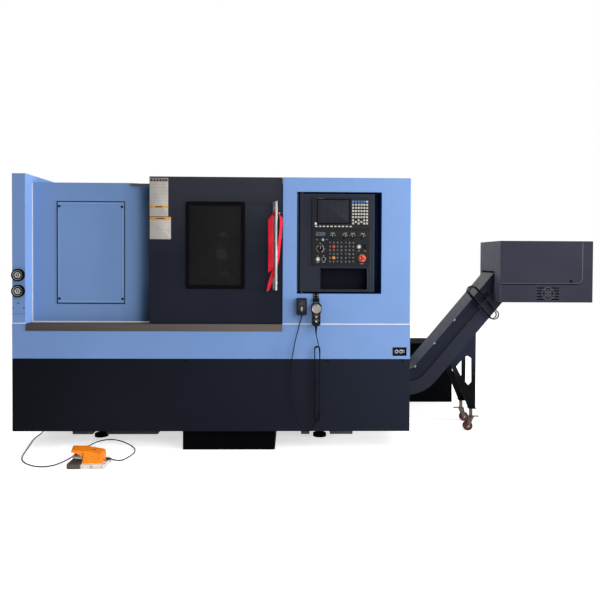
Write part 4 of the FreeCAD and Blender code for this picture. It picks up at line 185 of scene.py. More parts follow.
# Enamels: name, darker and lighter colour, fineness of the clouds, roughness, gloss
BLUE = finish("blue_enamel", (0.2, 0.34, 0.665), (0.213, 0.36, 0.7), 3, (0.36, 0.46), 0.132)
# The cover's blue enamel with painted shade: from X 700 to 915 it darkens towards the door's edge, as if the door
# shaded it.
COVER_BLUE_SHADED = finish("cover_enamel_painted_shade", (0.195, 0.335, 0.64), (0.208, 0.35, 0.67), 3, (0.36, 0.46), 0.132,
                    tint=("X", 700, 915, (0.135, 0.235, 0.43)))
# Painted highlight: a pale blue for the lit inner edge of the access panel's flange.
HIGHLIGHT_BLUE = finish("painted_highlight_blue", (0.33, 0.5, 0.86), (0.36, 0.53, 0.9), 3, (0.3, 0.4), 0.132)
# Painted shade: a dark blue that lines the recess about the console, in place of its shaded walls.
RECESS_SHADE = finish("recess_painted_shade", (0.018, 0.055, 0.195), (0.024, 0.066, 0.23), 3, (0.42, 0.54), 0.066)
NAVY = finish("navy_enamel", (0.0105, 0.0125, 0.022), (0.013, 0.0155, 0.027), 3, (0.42, 0.54), 0.079, worn=RUBBED_NAVY)
# The door's navy enamel with a painted sheen: from Z 1350 to 1950 it lightens towards the top, as if lit from the
# ceiling.
DOOR_NAVY_SHEEN = finish("door_enamel_painted_sheen", (0.0095, 0.0115, 0.021), (0.012, 0.0142, 0.026), 3, (0.4, 0.52), 0.088,
                   worn=RUBBED_NAVY, tint=("Z", 1350, 1950, (0.034, 0.036, 0.048)))
# The base's navy enamel with painted light: it lightens towards the right end, where the light is stronger.
BASE_NAVY_LIT = finish("base_enamel_painted_light", (0.0024, 0.003, 0.0056), (0.0034, 0.0042, 0.0078), 3, (0.45, 0.58), 0.053,
                   worn=(0.05, 0.055, 0.07), tint=("X", 0, 2750, (0.0155, 0.0185, 0.031)))
GREY_NAVY = finish("conveyor_enamel", (0.0165, 0.019, 0.031), (0.021, 0.024, 0.038), 3, (0.42, 0.54), 0.097,
                   worn=RUBBED_GREY)
# The head box's enamel with painted light: its left side (below X 3503) takes a lit warm grey, which is also the colour
# of the painted highlight on the console.
HEAD_LIT_SIDE = finish("head_box_enamel_painted_lit_side", (0.02, 0.0228, 0.036), (0.026, 0.029, 0.044), 3, (0.42, 0.54), 0.097,
              worn=(0.1, 0.1, 0.11), tint=("X", 3506, 3503, (0.088, 0.082, 0.084)))
# Painted highlight along the head box's seam edges; the fan guard's rings and bars take the same lighter grey.
FAN_GUARD_AND_HIGHLIGHT = finish("fan_guard_and_seam_highlight", (0.075, 0.08, 0.1), (0.09, 0.095, 0.12), 3, (0.4, 0.52), 0.097)
# The lid's enamel with painted light: its top (from Y 509 back) takes a lit warm grey.
LID_LIT_TOP = finish("lid_enamel_painted_light", (0.0075, 0.0095, 0.0185), (0.01, 0.0125, 0.024), 3, (0.4, 0.52), 0.097, worn=RUBBED_GREY,
             tint=("Y", 506, 509, (0.098, 0.089, 0.084)))
LEG = finish("leg_enamel", (0.015, 0.0175, 0.03), (0.019, 0.022, 0.037), 3, (0.45, 0.56), 0.044, worn=RUBBED_NAVY,
             tint=("Z", 560, 400, (0.0022, 0.0022, 0.003)))
BLACK = finish("black_enamel", (0.0012, 0.0012, 0.0017), (0.0022, 0.0022, 0.003), 3, (0.6, 0.75), 0.018,
               worn=(0.08, 0.08, 0.08))
HOOD_NAVY = finish("hood_enamel", (0.008, 0.014, 0.03), (0.012, 0.02, 0.042), 20, (0.38, 0.5), 0.088)
# Painted shade: a near-black that lines the pocket under the console.
POCKET_SHADE = finish("pocket_painted_shade", (0.0045, 0.006, 0.013), (0.0065, 0.008, 0.017), 3, (0.45, 0.55), 0.053)
CONSOLE = finish("console_face", (0.019, 0.023, 0.036), (0.024, 0.028, 0.043), 3, (0.42, 0.52), 0.097)
GUARD = finish("guard_enamel", (0.34, 0.34, 0.35), (0.42, 0.42, 0.43))
ORANGE = finish("orange_enamel", (0.94, 0.215, 0.004), (1, 0.255, 0.008), 18, (0.3, 0.42), worn=(0.75, 0.5, 0.35))

# Metals
IRON = finish("machine_iron", (0.1, 0.11, 0.13), (0.15, 0.16, 0.18), 8, (0.45, 0.65), grain=(260, 0.0002),
              worn=(0.35, 0.35, 0.35))
STEEL = finish("ground_steel", (0.33, 0.335, 0.345), (0.48, 0.485, 0.5), 12, (0.2, 0.38), metal=1,
               grain=(900, 0.00001), stretch=(1, 1, 6))
# The sill's steel with painted light: from X 100 to 1857 it lightens towards the right.
SILL_LIT = finish("sill_steel", (0.046, 0.039, 0.037), (0.074, 0.063, 0.058), 2, (0.35, 0.55), metal=0.3,
              grain=(800, 0.00002), stretch=(0.6, 8, 8), tint=("X", 100, 1857, (0.14, 0.115, 0.101)))
ZINC = finish("zinc_plate", (0.045, 0.038, 0.031), (0.16, 0.135, 0.112), 30, (0.3, 0.5), metal=0.9)
ALUMINIUM = finish("satin_aluminium", (0.25, 0.235, 0.22), (0.33, 0.305, 0.285), 30, (0.25, 0.38), metal=0.9,
                   grain=(600, 0.00002), stretch=(8, 8, 0.5))
# The handle's metal with painted shade: the bar's left side (below X 1806) is darker.
HANDLE_SHADED = finish("handle_metal", (0.42, 0.405, 0.4), (0.5, 0.485, 0.48), 8, (0.3, 0.4), metal=0.25,
                grain=(600, 0.00001), stretch=(8, 8, 0.5), tint=("X", 1812, 1806, (0.2, 0.175, 0.17)))
# The pedal base's grey with painted shade: its left end (below X 588), under the hood's canopy, is dark.
CAST_GREY_SHADED = finish("cast_grey_painted_shade", (0.5, 0.47, 0.45), (0.78, 0.74, 0.71), 20, (0.4, 0.6), grain=(400, 0.0001),
                   tint=("X", 596, 588, (0.085, 0.07, 0.06)))
TREAD = finish("tread_plate", (0.3, 0.265, 0.24), (0.6, 0.55, 0.51), 26, (0.4, 0.55), metal=0.1, grain=(400, 0.0001))
SCREW = finish("black_screw", (0.012, 0.012, 0.014), (0.03, 0.03, 0.034), 60, (0.3, 0.45), edge=FINE,
               worn=(0.2, 0.2, 0.2))
BOLT = finish("bright_screw", (0.25, 0.24, 0.225), (0.42, 0.4, 0.375), 60, (0.25, 0.4), metal=0.8, edge=FINE)

# Rubber, mouldings, cloth and glass
RUBBER = finish("cable_rubber", (0.0025, 0.0025, 0.003), (0.005, 0.005, 0.0055), 40, (0.5, 0.7), 0.066,
                grain=(900, 0.00006))
GASKET = finish("gasket_rubber", (0.0016, 0.0016, 0.0022), (0.0028, 0.0028, 0.0035), 30, (0.5, 0.62), 0.035)
TYRE = finish("red_tyre", (0.06, 0.012, 0.008), (0.11, 0.022, 0.014), 40, (0.4, 0.6))
MOULDED = finish("black_moulding", (0.004, 0.004, 0.0045), (0.008, 0.008, 0.009), 40, gloss=0.097,
                 grain=(1500, 0.00002))
PANEL = finish("panel_face", (0.007, 0.0075, 0.009), (0.01, 0.011, 0.013), 14, gloss=0.154)
WHITE = finish("white_moulding", (0.62, 0.62, 0.6), (0.72, 0.72, 0.7), 60, (0.3, 0.42))
RED = finish("red_button", (0.55, 0.012, 0.01), (0.66, 0.02, 0.014), 60, (0.2, 0.3))
YELLOW = finish("yellow_ring", (0.7, 0.3, 0.02), (0.8, 0.4, 0.03), 50, (0.3, 0.45), edge=0.0005)
CLOTH = finish("ribbon_cloth", (0.54, 0.012, 0.028), (0.8, 0.022, 0.048), 18, (0.6, 0.75), 0.066, sheen=0.05,
               grain=(1600, 0.00012), edge=FINE)
GLASS = finish("smoked_glass", (0.008, 0.008, 0.01), (0.013, 0.013, 0.015), 2, (0.04, 0.07), 0.1, grain=(3, 0.00001),
               edge=FINE, alpha=(0.5, 0.6), tint=("X", 1260, 1520, (0.018, 0.0165, 0.0155)))
CLEAR = finish("gauge_glass", (0.6, 0.6, 0.6), (0.7, 0.7, 0.7), 10, (0.05, 0.1), 0.132, edge=FINE,
               alpha=(0.02, 0.04))
SCREEN = finish("screen_glass", (0.02, 0.022, 0.031), (0.032, 0.034, 0.043), 5, (0.3, 0.4), 0.044, grain=(3, 0.00001),
                stretch=(3, 1, 0.1), edge=FINE)

# Pale joint lines, plates, faces, ink and keys
PALE_STRIP = finish("pale_joint_line", (0.86, 0.83, 0.8), (0.97, 0.95, 0.93), 30, (0.4, 0.6), edge=0.0004)
CREAM = finish("bare_plate", (0.47, 0.435, 0.405), (0.57, 0.53, 0.5), 12, (0.4, 0.55), edge=FINE)
HEADER = finish("plate_header", (0.02, 0.021, 0.025), (0.03, 0.031, 0.036), 20, edge=FINE)
AMBER = finish("plate_band", (0.7, 0.3, 0.03), (0.8, 0.38, 0.05), 20, edge=FINE)
PAPER = finish("gauge_paper", (0.62, 0.6, 0.57), (0.76, 0.74, 0.71), 40, (0.3, 0.45), edge=FINE)
INK = finish("white_ink", (0.5, 0.5, 0.5), (0.66, 0.66, 0.66), 80, (0.4, 0.6), edge=THIN)
GREY_INK = finish("grey_ink", (0.12, 0.12, 0.13), (0.19, 0.19, 0.2), 80, (0.4, 0.6), edge=THIN)
IVORY_KEY = finish("ivory_key", (0.52, 0.49, 0.45), (0.66, 0.63, 0.58), 50, edge=SMALL)
BLUE_KEY = finish("blue_key", (0.06, 0.19, 0.52), (0.09, 0.25, 0.62), 50, edge=SMALL)
RED_KEY = finish("red_key", (0.62, 0.03, 0.035), (0.75, 0.05, 0.05), 50, edge=SMALL)
AMBER_KEY = finish("amber_key", (0.8, 0.27, 0.015), (0.88, 0.33, 0.03), 50, edge=SMALL)
DARK_KEY = finish("dark_key", (0.01, 0.01, 0.012), (0.016, 0.016, 0.019), 50, edge=SMALL,
                  worn=(0.05, 0.05, 0.055))

NODE_LOOKS = (
    (BLUE, "front_band left_end_cover column_shell rear_enclosure cabinet_door"),
    (COVER_BLUE_SHADED, "headstock_cover access_panel"),
    (BASE_NAVY_LIT, "base_panels"), (DOOR_NAVY_SHEEN, "door_shell"), (HOOD_NAVY, "socket_hood"),
    (GREY_NAVY, "conveyor_trough"), (LID_LIT_TOP, "conveyor_lid"), (HEAD_LIT_SIDE, "conveyor_head_box"), (LEG, "conveyor_leg"),
    (CONSOLE, "console_box"), (PANEL, "cnc_unit operator_panel"), (GUARD, "work_area_liner"), (SILL_LIT, "door_tracks"),
    (BLACK, "levelling_feet pressure_gauges coolant_tanks"),
    (IRON, "bed_casting headstock_casting saddle turret_slide tailstock"),
    (STEEL, "key_switch spindle chuck_body chuck_jaw_1 chuck_jaw_2 chuck_jaw_3 turret_disc quill conveyor_drive_shaft"),
    (ZINC, "caster_fork_front caster_fork_rear"), (TYRE, "caster_wheel_front caster_wheel_rear"),
    (ALUMINIUM, "hand_wheel"), (HANDLE_SHADED, "door_handle"), (GLASS, "door_glass"), (CLOTH, "door_ribbon"),
    (WHITE, "panel_keys start_button"), (RED, "emergency_stop"),
    (MOULDED, "hold_button override_dial pendant_body pendant_axis_knob pendant_step_knob pendant_plug cord_tie"),
    (RUBBER, "pedal_cord pendant_cord conveyor_cable"),
    (CAST_GREY_SHADED, "pedal_base"), (ORANGE, "pedal_hood"), (TREAD, "pedal_tread"),
)
for look, names in NODE_LOOKS:
    for node_name in names.split():
        NODES[node_name].data.materials.clear()
        NODES[node_name].data.materials.append(look)


# --- cords, on the routes that they have in the part's source ---
CORD_REST = 4.6     # height of the pedal cord's middle where it lies on the floor
PEDAL_FALL = [(40, 470, 118), (40, 470, 78), (39, 458, 38), (35, 428, 11)]
PEDAL_FLOOR = [
    (28, 385), (27, 318), (38, 236), (59, 148), (80, 58), (99, -30), (119, -116), (148, -192), (196, -256),
    (262, -306), (332, -332), (394, -310), (430, -250), (450, -172), (464, -92), (474, -6), (484, 84), (502, 172),
    (541, 240), (607, 264), (684, 222), (764, 142), (827, 52), (851, -36), (842, -112), (823, -176),
]
PEDAL_RISE = [(806, -230, 10), (782, -266, 27), (752, -282, 40), (728, -282, 40)]
PENDANT_UPPER = [
    (2091, -51, 865), (2091, -51, 832), (2096, -44, 800), (2104, -37, 768), (2111, -35, 736), (2116, -38, 704),
    (2117, -41, 672), (2117, -41, 645),
]
PENDANT_LOWER = [
    (2066, -55, 162), (2039, -54, 153), (2011, -52, 161), (1985, -50, 190), (1961, -48, 240), (1939, -45, 306),
    (1921, -42, 386), (1912, -38, 478), (1916, -34, 576), (1930, -30, 676), (1949, -27, 774), (1972, -24, 866),
    (1992, -23, 930), (1992, -23, 963),
]


def beside(centre, angle, along, across, y):
    """A point beside a hank's middle, by its distance along the hank and square to it."""
    cos, sin = cos_sin(angle)
    return (centre[0] + along * cos - across * sin, y, centre[1] + along * sin + across * cos)


def fold(reach, radius, side):
    """The turn at a hank's end, as distances along it and across it."""
    wide = 1.08 * radius * side
    return [(reach + wide * cos, wide * sin) for cos, sin in map(cos_sin, (67.5, 22.5, -22.5, -67.5))]


def hank(centre, angle, half, loops, y, pitch):
    """The points of flat elongated loops, each a layer further to the front; a loop is (radius, stretch, lean)."""
    points = []
    for turn, (radius, stretch, lean) in enumerate(loops):
        reach, heading = half + stretch, angle + lean
        out = [(0.3 * reach, radius), (0.9 * reach, radius), *fold(reach, radius, 1),
               (0.9 * reach, -radius), (0.3 * reach, -radius), (-0.3 * reach, -radius)]
        points += [beside(centre, heading, *place, y) for place in out]
        if turn + 1 < len(loops):
            points.append(beside(centre, heading, -0.9 * reach, -radius, y))
            y -= pitch
            radius, stretch, lean = loops[turn + 1]
            reach, heading = half + stretch, angle + lean
            back = [*fold(-reach, radius, -1), (-0.9 * reach, radius)]
            points += [beside(centre, heading, *place, y) for place in back]
    return points


def pedal_route():
    return PEDAL_FALL + [(x, y, CORD_REST) for x, y in PEDAL_FLOOR] + PEDAL_RISE


def pendant_route():
    centre, half, last = (2100, 480), 235, -56
    points = PENDANT_UPPER + hank(centre, -90, half, [(17, 0, 0), (19, 5, 0)], -41, 7.5)
    ends = [(-0.9 * half, -18), *fold(-half, 18, -1), *((part * half, 17) for part in (-0.9, -0.4, 0.2, 0.9))]
    return points + [beside(centre, -90, *place, last) for place in ends] + PENDANT_LOWER


def conveyor_route():
    centre, angle, half = (3404, 1005), -49, 122
    port, back = (3440, 500, 1069), beside(centre, angle, -22, -72, 500)
    points = [port, (3440, 489, 1069), (3439, 480, 1070), beside(centre, angle, -24, 31, 476)]
    points += hank(centre, angle, half, [(31, 0, 0), (36, 6, 3), (32, -7, -3), (34, 4, 2)], 476, 9)
    points += [(back[0] - 8, 466, back[2] + 8), (back[0], 480, back[2]), (back[0], 489, back[2]), back]
    return points


def cord(name, points, diameter, node, **facts):
    curve = bpy.data.curves.new(name, "CURVE")
    curve.dimensions = "3D"
    spline = curve.splines.new("NURBS")
    spline.points.add(len(points) - 1)
    for point, place in zip(spline.points, points):
        point.co = (*at(*place), 1)
    spline.order_u = 3
    spline.use_endpoint_u = True
    spline.resolution_u = 10
    curve.bevel_depth = diameter / 2000
    curve.bevel_resolution = 4
    curve.use_fill_caps = True
    curve.materials.append(RUBBER)
    obj = placed(name, curve)
    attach(obj, "machine")
    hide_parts(node)


cord("foot_switch_cord", pedal_route(), 8, "pedal_cord", length=2.39, far_end="object", stiffness="medium",
     lay="loose")
cord("hand_pendant_cord", pendant_route(), 6.5, "pendant_cord", length=3.74, far_end="plug", stiffness="medium",
     lay="hanging", with_pieces=[NODES["pendant_plug"], NODES["cord_tie"]])
cord("conveyor_spare_cable", conveyor_route(), 7.5, "conveyor_cable", length=2.55, far_end="object",
     stiffness="medium", lay="hanging")


# --- forms for the pieces; x and z lie on a face that looks to the front, and y is its depth ---
SHARP = 0.6         # edges that turn by more than this, in radians, stay sharp
CORNER_STEPS = 4


def build(name, bm, slot, body="machine", *hidden):
    """Makes a piece of the mesh, with its faces' looks, on a body; it may stand for a hidden node."""
    used = list(dict.fromkeys(face.material_index for face in bm.faces))
    for face in bm.faces:
        face.material_index = used.index(face.material_index)
    bmesh.ops.recalc_face_normals(bm, faces=bm.faces)
    data = bpy.data.meshes.new(name)
    bm.to_mesh(data)
    bm.free()
    for number in used:
        data.materials.append(PALETTE[number])
    data.shade_smooth()
    data.set_sharp_from_angle(angle=SHARP)
    obj = placed(name, data)
    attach(obj, body)
    if hidden:
        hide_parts(*hidden)
    return obj


def skin(bm, rings, look, end=None, closed=False):
    """A surface through rings of places, capped or closed on itself; end is the last cap's look."""
    number = PALETTE.index(look)
    rows = [[bm.verts.new(at(*place)) for place in ring] for ring in rings]
    pairs = list(zip(rows, rows[1:]))
    if closed:
        pairs.append((rows[-1], rows[0]))
    else:
        bm.faces.new(rows[0]).material_index = number
        bm.faces.new(rows[-1]).material_index = PALETTE.index(end) if end else number
    for row, following in pairs:
        for step in range(len(row)):
            side = bm.faces.new((row[step], row[step - 1], following[step - 1], following[step]))
            side.material_index = number


def rounded(x0, x1, z0, z1, radius, inset):
    """The corners of an upright rounded rectangle, drawn in from its edges."""
    x0, x1, z0, z1, radius = x0 + inset, x1 - inset, z0 + inset, z1 - inset, max(radius - inset, 0.1)
    outline = []
    for x, z, start in ((x1 - radius, z1 - radius, 0), (x0 + radius, z1 - radius, 90),
                        (x0 + radius, z0 + radius, 180), (x1 - radius, z0 + radius, 270)):
        for step in range(CORNER_STEPS + 1):
            cos, sin = cos_sin(start + 90 * step / CORNER_STEPS)
            outline.append((x + radius * cos, z + radius * sin))
    return outline


def layers(rect, radius, steps):
    """Rings of a rounded rectangle, one for each (inset, depth)."""
    return [[(x, depth, z) for x, z in rounded(*rect, radius, inset)] for inset, depth in steps]


def plate(bm, rect, back, front, radius, edge, look):
    """A flat plate, its front edge rounded over."""
    ahead = edge if back > front else -edge
    steps = ((0, back), (0, front + ahead), (0.3 * edge, front + 0.3 * ahead), (edge, front))
    skin(bm, layers(rect, radius, steps), look)


def lining(bm, rect, front, back, thick, radius, look):
    """A thin open tray that lines a recess."""
    steps = ((0.1, back), (0.1, front), (thick, front), (thick, back - thick))
    skin(bm, layers(rect, radius, steps), look)


def surround(bm, rect, width, back, front, radius, look):
    """A raised frame about an opening."""
    steps = ((0, back), (0, front + 1.5), (1.5, front), (width - 1.5, front), (width, front + 1.5), (width, back))
    skin(bm, layers(rect, radius, steps), look, closed=True)


def turned(bm, centre, profile, sides, look, axis="y", end=None, flutes=0, cut=0):
    """A turned form; its profile is (radius, distance out along the axis), and y looks to the front."""
    cx, cy, cz = centre
    rings = []
    for radius, out in profile:
        ring = []
        for step in range(sides):
            turn = 2 * math.pi * step / sides
            r = radius - cut * (0.5 - 0.5 * math.cos(flutes * turn)) if radius > 5 * cut else radius
            a, b = r * math.cos(turn), r * math.sin(turn)
            places = {"y": (cx + a, cy - out, cz + b), "x": (cx + out, cy + a, cz + b), "z": (cx + a, cy + b, cz + out)}
            ring.append(places[axis])
        rings.append(ring)
    skin(bm, rings, look, end)


def strip(bm, x0, z0, x1, z1, width, front, thick, look, side=False):
    """A thin straight bar between two places on a face that looks to the front, or to the side."""
    length = math.hypot(x1 - x0, z1 - z0)
    a, b = (z0 - z1) / length * width / 2, (x1 - x0) / length * width / 2
    outline = [(x0 + a, z0 + b), (x1 + a, z1 + b), (x1 - a, z1 - b), (x0 - a, z0 - b)]
    skin(bm, [[(depth, x, z) if side else (x, depth, z) for x, z in outline] for depth in (front + thick, front)],
         look)


def strips(bm, rows, front, thick, look):
    """Straight bars, each given by its two places and its width."""
    for row in rows:
        strip(bm, *row, front, thick, look)


def dash(bm, x, z, length, width, front, thick, look):
    """A level bar about its middle."""
    strip(bm, x - length / 2, z, x + length / 2, z, width, front, thick, look)


def spokes(bm, centre, angles, inner, outer, width, front, thick, look):
    """Straight marks about a centre (x, z), by their angles from the right."""
    for angle in angles:
        cos, sin = cos_sin(angle)
        start, end = ((centre[0] + r * cos, centre[1] + r * sin) for r in (inner, outer))
        strip(bm, *start, *end, width, front, thick, look)


def studs(bm, places, face, profile, sides, look, end=None):
    """The same turned form at several (x, z) places on a face."""
    for x, z in places:
        turned(bm, (x, face, z), profile, sides, look, end=end)


def screws(bm, places, face, r, look):
    """Pan-head screws with a socket, standing on a face."""
    profile = [(r, -0.3), (r, 0.25 * r), (0.85 * r, 0.5 * r), (0.45 * r, 0.55 * r), (0.42 * r, 0.5 * r),
               (0.4 * r, 0.2 * r)]
    studs(bm, places, face, profile, 16, look)


# --- covers, pale joint lines, seams and screws ---
BAND_TOP, COVER_FACE = 886, 91
HINGE_X, HINGE_Y = 1989, 14


def cover_details():
    bm = bmesh.new()
    # Thin near-white lines along the band's top and the headstock cover's left and bottom joints.
    strips(bm, ((0.6, BAND_TOP, 94.4, BAND_TOP, 6), (1858.5, BAND_TOP, 2749.4, BAND_TOP, 6)), -0.9, 1.2, PALE_STRIP)
    strip(bm, 100.5, 890, 100.5, 1864, 8, 92.6, 1.7, PALE_STRIP)
    strip(bm, 98.5, 888, 923, 888, 8, 92, 2.3, PALE_STRIP)
    build("pale_joint_lines", bm, "gauge_face")

    bm = bmesh.new()
    screws(bm, ((290, 1051), (731, 1050), (289, 1700), (727, 1698)), COVER_FACE, 8.5, GASKET)
    screws(bm, ((42, 1025), (8, 991), (82, 991)), 0, 4.5, GASKET)
    screws(bm, ((51, 630), (589, 631), (1196, 631), (2178, 631), (2700, 626)), 0, 5.5, GASKET)
    build("cover_screws", bm, "black_paint")

    bm = bmesh.new()
    strip(bm, 0.8, 951, 94.2, 951, 1.6, -0.15, 0.5, NAVY)
    strips(bm, ((275, 1019, 275, 1734, 7), (272, 1018.5, 747, 1018.5, 7.5),
                (272, 1733, 747, 1733, 6), (744, 1019, 744, 1734, 5.5)), 90.7, 3.2, NAVY)
    # Painted highlight: pale blue strips for the lit inner edge of the access panel's flange.
    strips(bm, ((287, 1034, 287, 1719, 2.2), (286, 1720, 735, 1720, 2.6),
                (286, 1033, 735, 1033, 3.2), (734, 1034, 734, 1719, 3.2)), 90.4, 0.8, HIGHLIGHT_BLUE)
    build("cover_seams_and_highlights", bm, "dark_paint")

    bm = bmesh.new()
    # Painted shade: a dark lining in the recess about the console.
    lining(bm, (1957, 2546, 1097, 1803), 0.3, 175, 1.2, 1, RECESS_SHADE)
    build("recess_shade_lining", bm, "dark_paint")

    bm = bmesh.new()
    plate(bm, (1957.4, 1968, 1108, 1792), 3.5, 0.8, 1, 0.5, CONSOLE)
    for low, high in ((1098.4, 1110), (1790, 1801.6)):
        collar = [(8.1, low), (9, low + 0.6), (9, high - 0.6), (8.1, high)]
        turned(bm, (HINGE_X, HINGE_Y, 0), collar, 32, CONSOLE, "z")
    build("console_hinge_trim", bm, "dark_paint")

    bm = bmesh.new()
    lining(bm, (2632, 2722, 669, 721), 0.3, 13, 1, 1, MOULDED)
    surround(bm, (2628, 2726, 665, 725), 5, 0.2, -1.6, 3, MOULDED)
    ports = ((2656, 695), (2688, 694))
    studs(bm, ports, 2.8, [(12, -2), (12, 0.6), (10.5, 1.4), (8.5, 1.4), (8, 0.2)], 24, BOLT)
    studs(bm, ports, 3, [(6.5, -2), (6.5, 0.8), (5.6, 1.4), (0.1, 1.4)], 24, MOULDED)
    for z in (690, 702):
        dash(bm, 2707, z, 14, 5, 11.2, 0.6, INK)
    build("connector_plate", bm, "black_paint")


GAUGE_X, GAUGES = 47, ((1218, 52), (1108, 128))     # heights, with the needles' angles


def gauge_details():
    bm = bmesh.new()
    for z, needle in GAUGES:
        middle, centre = (GAUGE_X, 0, z), (GAUGE_X, z)
        bezel = [(42.9, 0), (43, 22), (41.5, 26.5), (38.5, 28), (35.5, 27.6), (34, 25), (33.6, 19.5)]
        rim = [(33.5, 19), (33.5, 20.4), (30.6, 20.6), (30.2, 19.8)]
        disc = [(20, 19.5), (20, 20.2), (19.3, 20.4), (11.5, 20.4), (11.1, 19.9)]
        turned(bm, middle, bezel, 64, GASKET, end=PAPER)
        turned(bm, middle, rim, 64, PAPER, end=GASKET)
        turned(bm, middle, disc, 48, PAPER, end=HEADER)
        spokes(bm, centre, range(-45, 226, 45), 24, 29, 1.2, -20.2, 0.4, PAPER)
        spokes(bm, centre, (needle,), -9, 26, 4, -21.4, 0.6, GASKET)
        turned(bm, middle, [(5, 19.6), (5, 22), (4, 23), (0.1, 23.2)], 24, PAPER)
    build("gauge_pair", bm, "gauge_face", "machine", "pressure_gauges")

    bm = bmesh.new()
    for z, needle in GAUGES:
        turned(bm, (GAUGE_X, 0, z), [(33.8, 24), (33.8, 24.8), (33, 25.2), (0.1, 25.8)], 48, CLEAR)
    build("gauge_glass", bm, "window_glass")


# --- door ---
SHEET, BAND = (12.2, 11), (11.2, 10.6)      # back and front of a bare plate and of a band on it
MARK, LINE = 10.4, 10.8     # fronts of the marks and ruled lines
HANDLE_FACE = 12
RIBBON = (          # places down the ribbon (x, y, z), each with half its width as a vector
    (1776, -47, 1252, -15, 2, -12), (1777, -48, 1268, -16, 2, -6), (1778, -48, 1300, -17, -2, 0),
    (1778, -47, 1350, -17, 2, 0), (1777, -46, 1410, -17, 3, 0), (1777, -48, 1470, -17, -2, 0),
    (1776, -46, 1530, -17, 3, 0), (1775, -47, 1580, -17, 2, 0), (1775, -46, 1612, -17, 2, -5),
    (1779, -42, 1634, -13, 2, -13), (1790, -34, 1646, -6, 1, -17), (1803, -27, 1652, -2, 0, -18),
    (1818, -25, 1653, 3, 0, -17), (1832, -28, 1648, 8, 0, -14), (1845, -32, 1632, 12, 6, -8),
    (1850, -34, 1606, 10, 14, -1), (1848, -34, 1560, 9, 15, 0), (1843, -33, 1505, 9, 15, 0),
    (1837, -32, 1450, 9, 15, 0), (1830, -30, 1395, 11, 13, 0), (1824, -27, 1345, 13, 10, 0),
    (1816, -26, 1300, 14, 8, 4), (1803, -28, 1262, 15, 6, 6), (1789, -33, 1225, 15, 6, 6),
    (1778, -38, 1185, 15, 5, 4), (1769, -41, 1148, 14, 5, 5), (1761, -43, 1118, 12, 4, 11),
)


def door_details():
    bm = bmesh.new()
    surround(bm, (1186, 1597, 1127, 1732), 27, 13.5, 6.4, 15, GASKET)
    build("window_gasket", bm, "black_paint", "door")

    bm = bmesh.new()
    plate(bm, (939, 1066, 1628, 1892), *SHEET, 3, 0.4, CREAM)
    plate(bm, (943, 1062, 1869, 1888), *BAND, 2.5, 0.2, HEADER)
    plate(bm, (940, 1064, 1685, 1702), *BAND, 1, 0.2, AMBER)
    plate(bm, (940, 1085, 1470, 1624), *SHEET, 3, 0.4, CREAM)
    plate(bm, (940.5, 1084.5, 1603, 1623.5), *BAND, 2.5, 0.2, AMBER)
    for x, z, length in ((1002, 1693.5, 48), (1014, 1613.5, 60)):
        dash(bm, x, z, length, 7, MARK, 0.4, HEADER)
    for x in (962, 983, 1003, 1024, 1043):
        dash(bm, x, 1878.5, 10, 6, MARK, 0.4, CREAM)
    for z in (1640, 1655, 1670, *range(1734, 1850, 23)):
        strip(bm, 944, z, 1061, z, 0.8, LINE, 0.4, GREY_INK)
    strip(bm, 944, 1537, 1081, 1537, 0.8, LINE, 0.4, GREY_INK)
    build("bare_plates", bm, "gauge_face", "door")

    bm = bmesh.new()
    washer = [(11, -0.5), (11, 1.5), (9.5, 2.6), (6, 2.8)]
    studs(bm, ((1813.5, 1170), (1813.5, 1681)), HANDLE_FACE, washer, 28, BOLT)
    screws(bm, ((1796, 1140), (1796, 1714)), 8, 3.5, BOLT)
    studs(bm, ((1835, 1655),), HANDLE_FACE, [(6, -0.3), (6, 1.4), (5, 2.2), (0.1, 2.4)], 20, BOLT)
    build("handle_washers", bm, "handle_metal", "door")


def ribbon():
    """The ribbon on the door's handle: up beside the bar, over it and down into a tail."""
    bm = bmesh.new()
    number = PALETTE.index(CLOTH)
    rows = []
    for x, y, z, wx, wy, wz in RIBBON:
        row = []
        for f in (-1, -0.4, 0.3, 1):
            wave = 1.2 * math.sin(z * 0.045 + f * 2)
            row.append(bm.verts.new(at(x + wx * f, y + wy * f + wave, z + wz * f)))
        rows.append(row)
    for row, following in zip(rows, rows[1:]):
        for step in range(3):
            face = bm.faces.new((row[step], row[step + 1], following[step + 1], following[step]))
            face.material_index = number
    obj = build("handle_ribbon", bm, "ribbon_red", "door", "door_ribbon")
    smoother = obj.modifiers.new("smoother", "SUBSURF")
    smoother.levels = smoother.render_levels = 2
    thicker = obj.modifiers.new("thicker", "SOLIDIFY")
    thicker.thickness = 0.0006


# --- console: y = 0 is its front, the control unit's face is proud of the panel's ---
UNIT_FACE, PANEL_FACE, LABEL = -12, -8, -8.3
KEY_LABEL, MODE_LABEL = -16.05, -12
STOP, DIAL, WHITE_BUTTON, BLACK_BUTTON = (2409, 1344), (2119, 1410), (2387, 1424), (2430, 1425)
COUNTER = (2087, 2151, 1500, 1524)
SELECTORS = ((2206, 115), (2289, 58), (2344, 130), (2413, 52))      # places along the row, with the pointers' angles
SELECTOR_ROW = 1492
LABELS = (          # (x, z, length)
    (2096, 1472, 14), (2164, 1472, 10), (2103, 1316, 20), (2143, 1316, 18), (2103, 1358, 8), (2143, 1360, 10),
    (2387, 1396, 14), (2430, 1396, 14), (2409, 1306, 26), (2119, 1449, 10),
)


def key(bm, x, z, wide, high, back, front, radius, edge, look):
    plate(bm, (x - wide, x + wide, z - high, z + high), back, front, radius, edge, look)


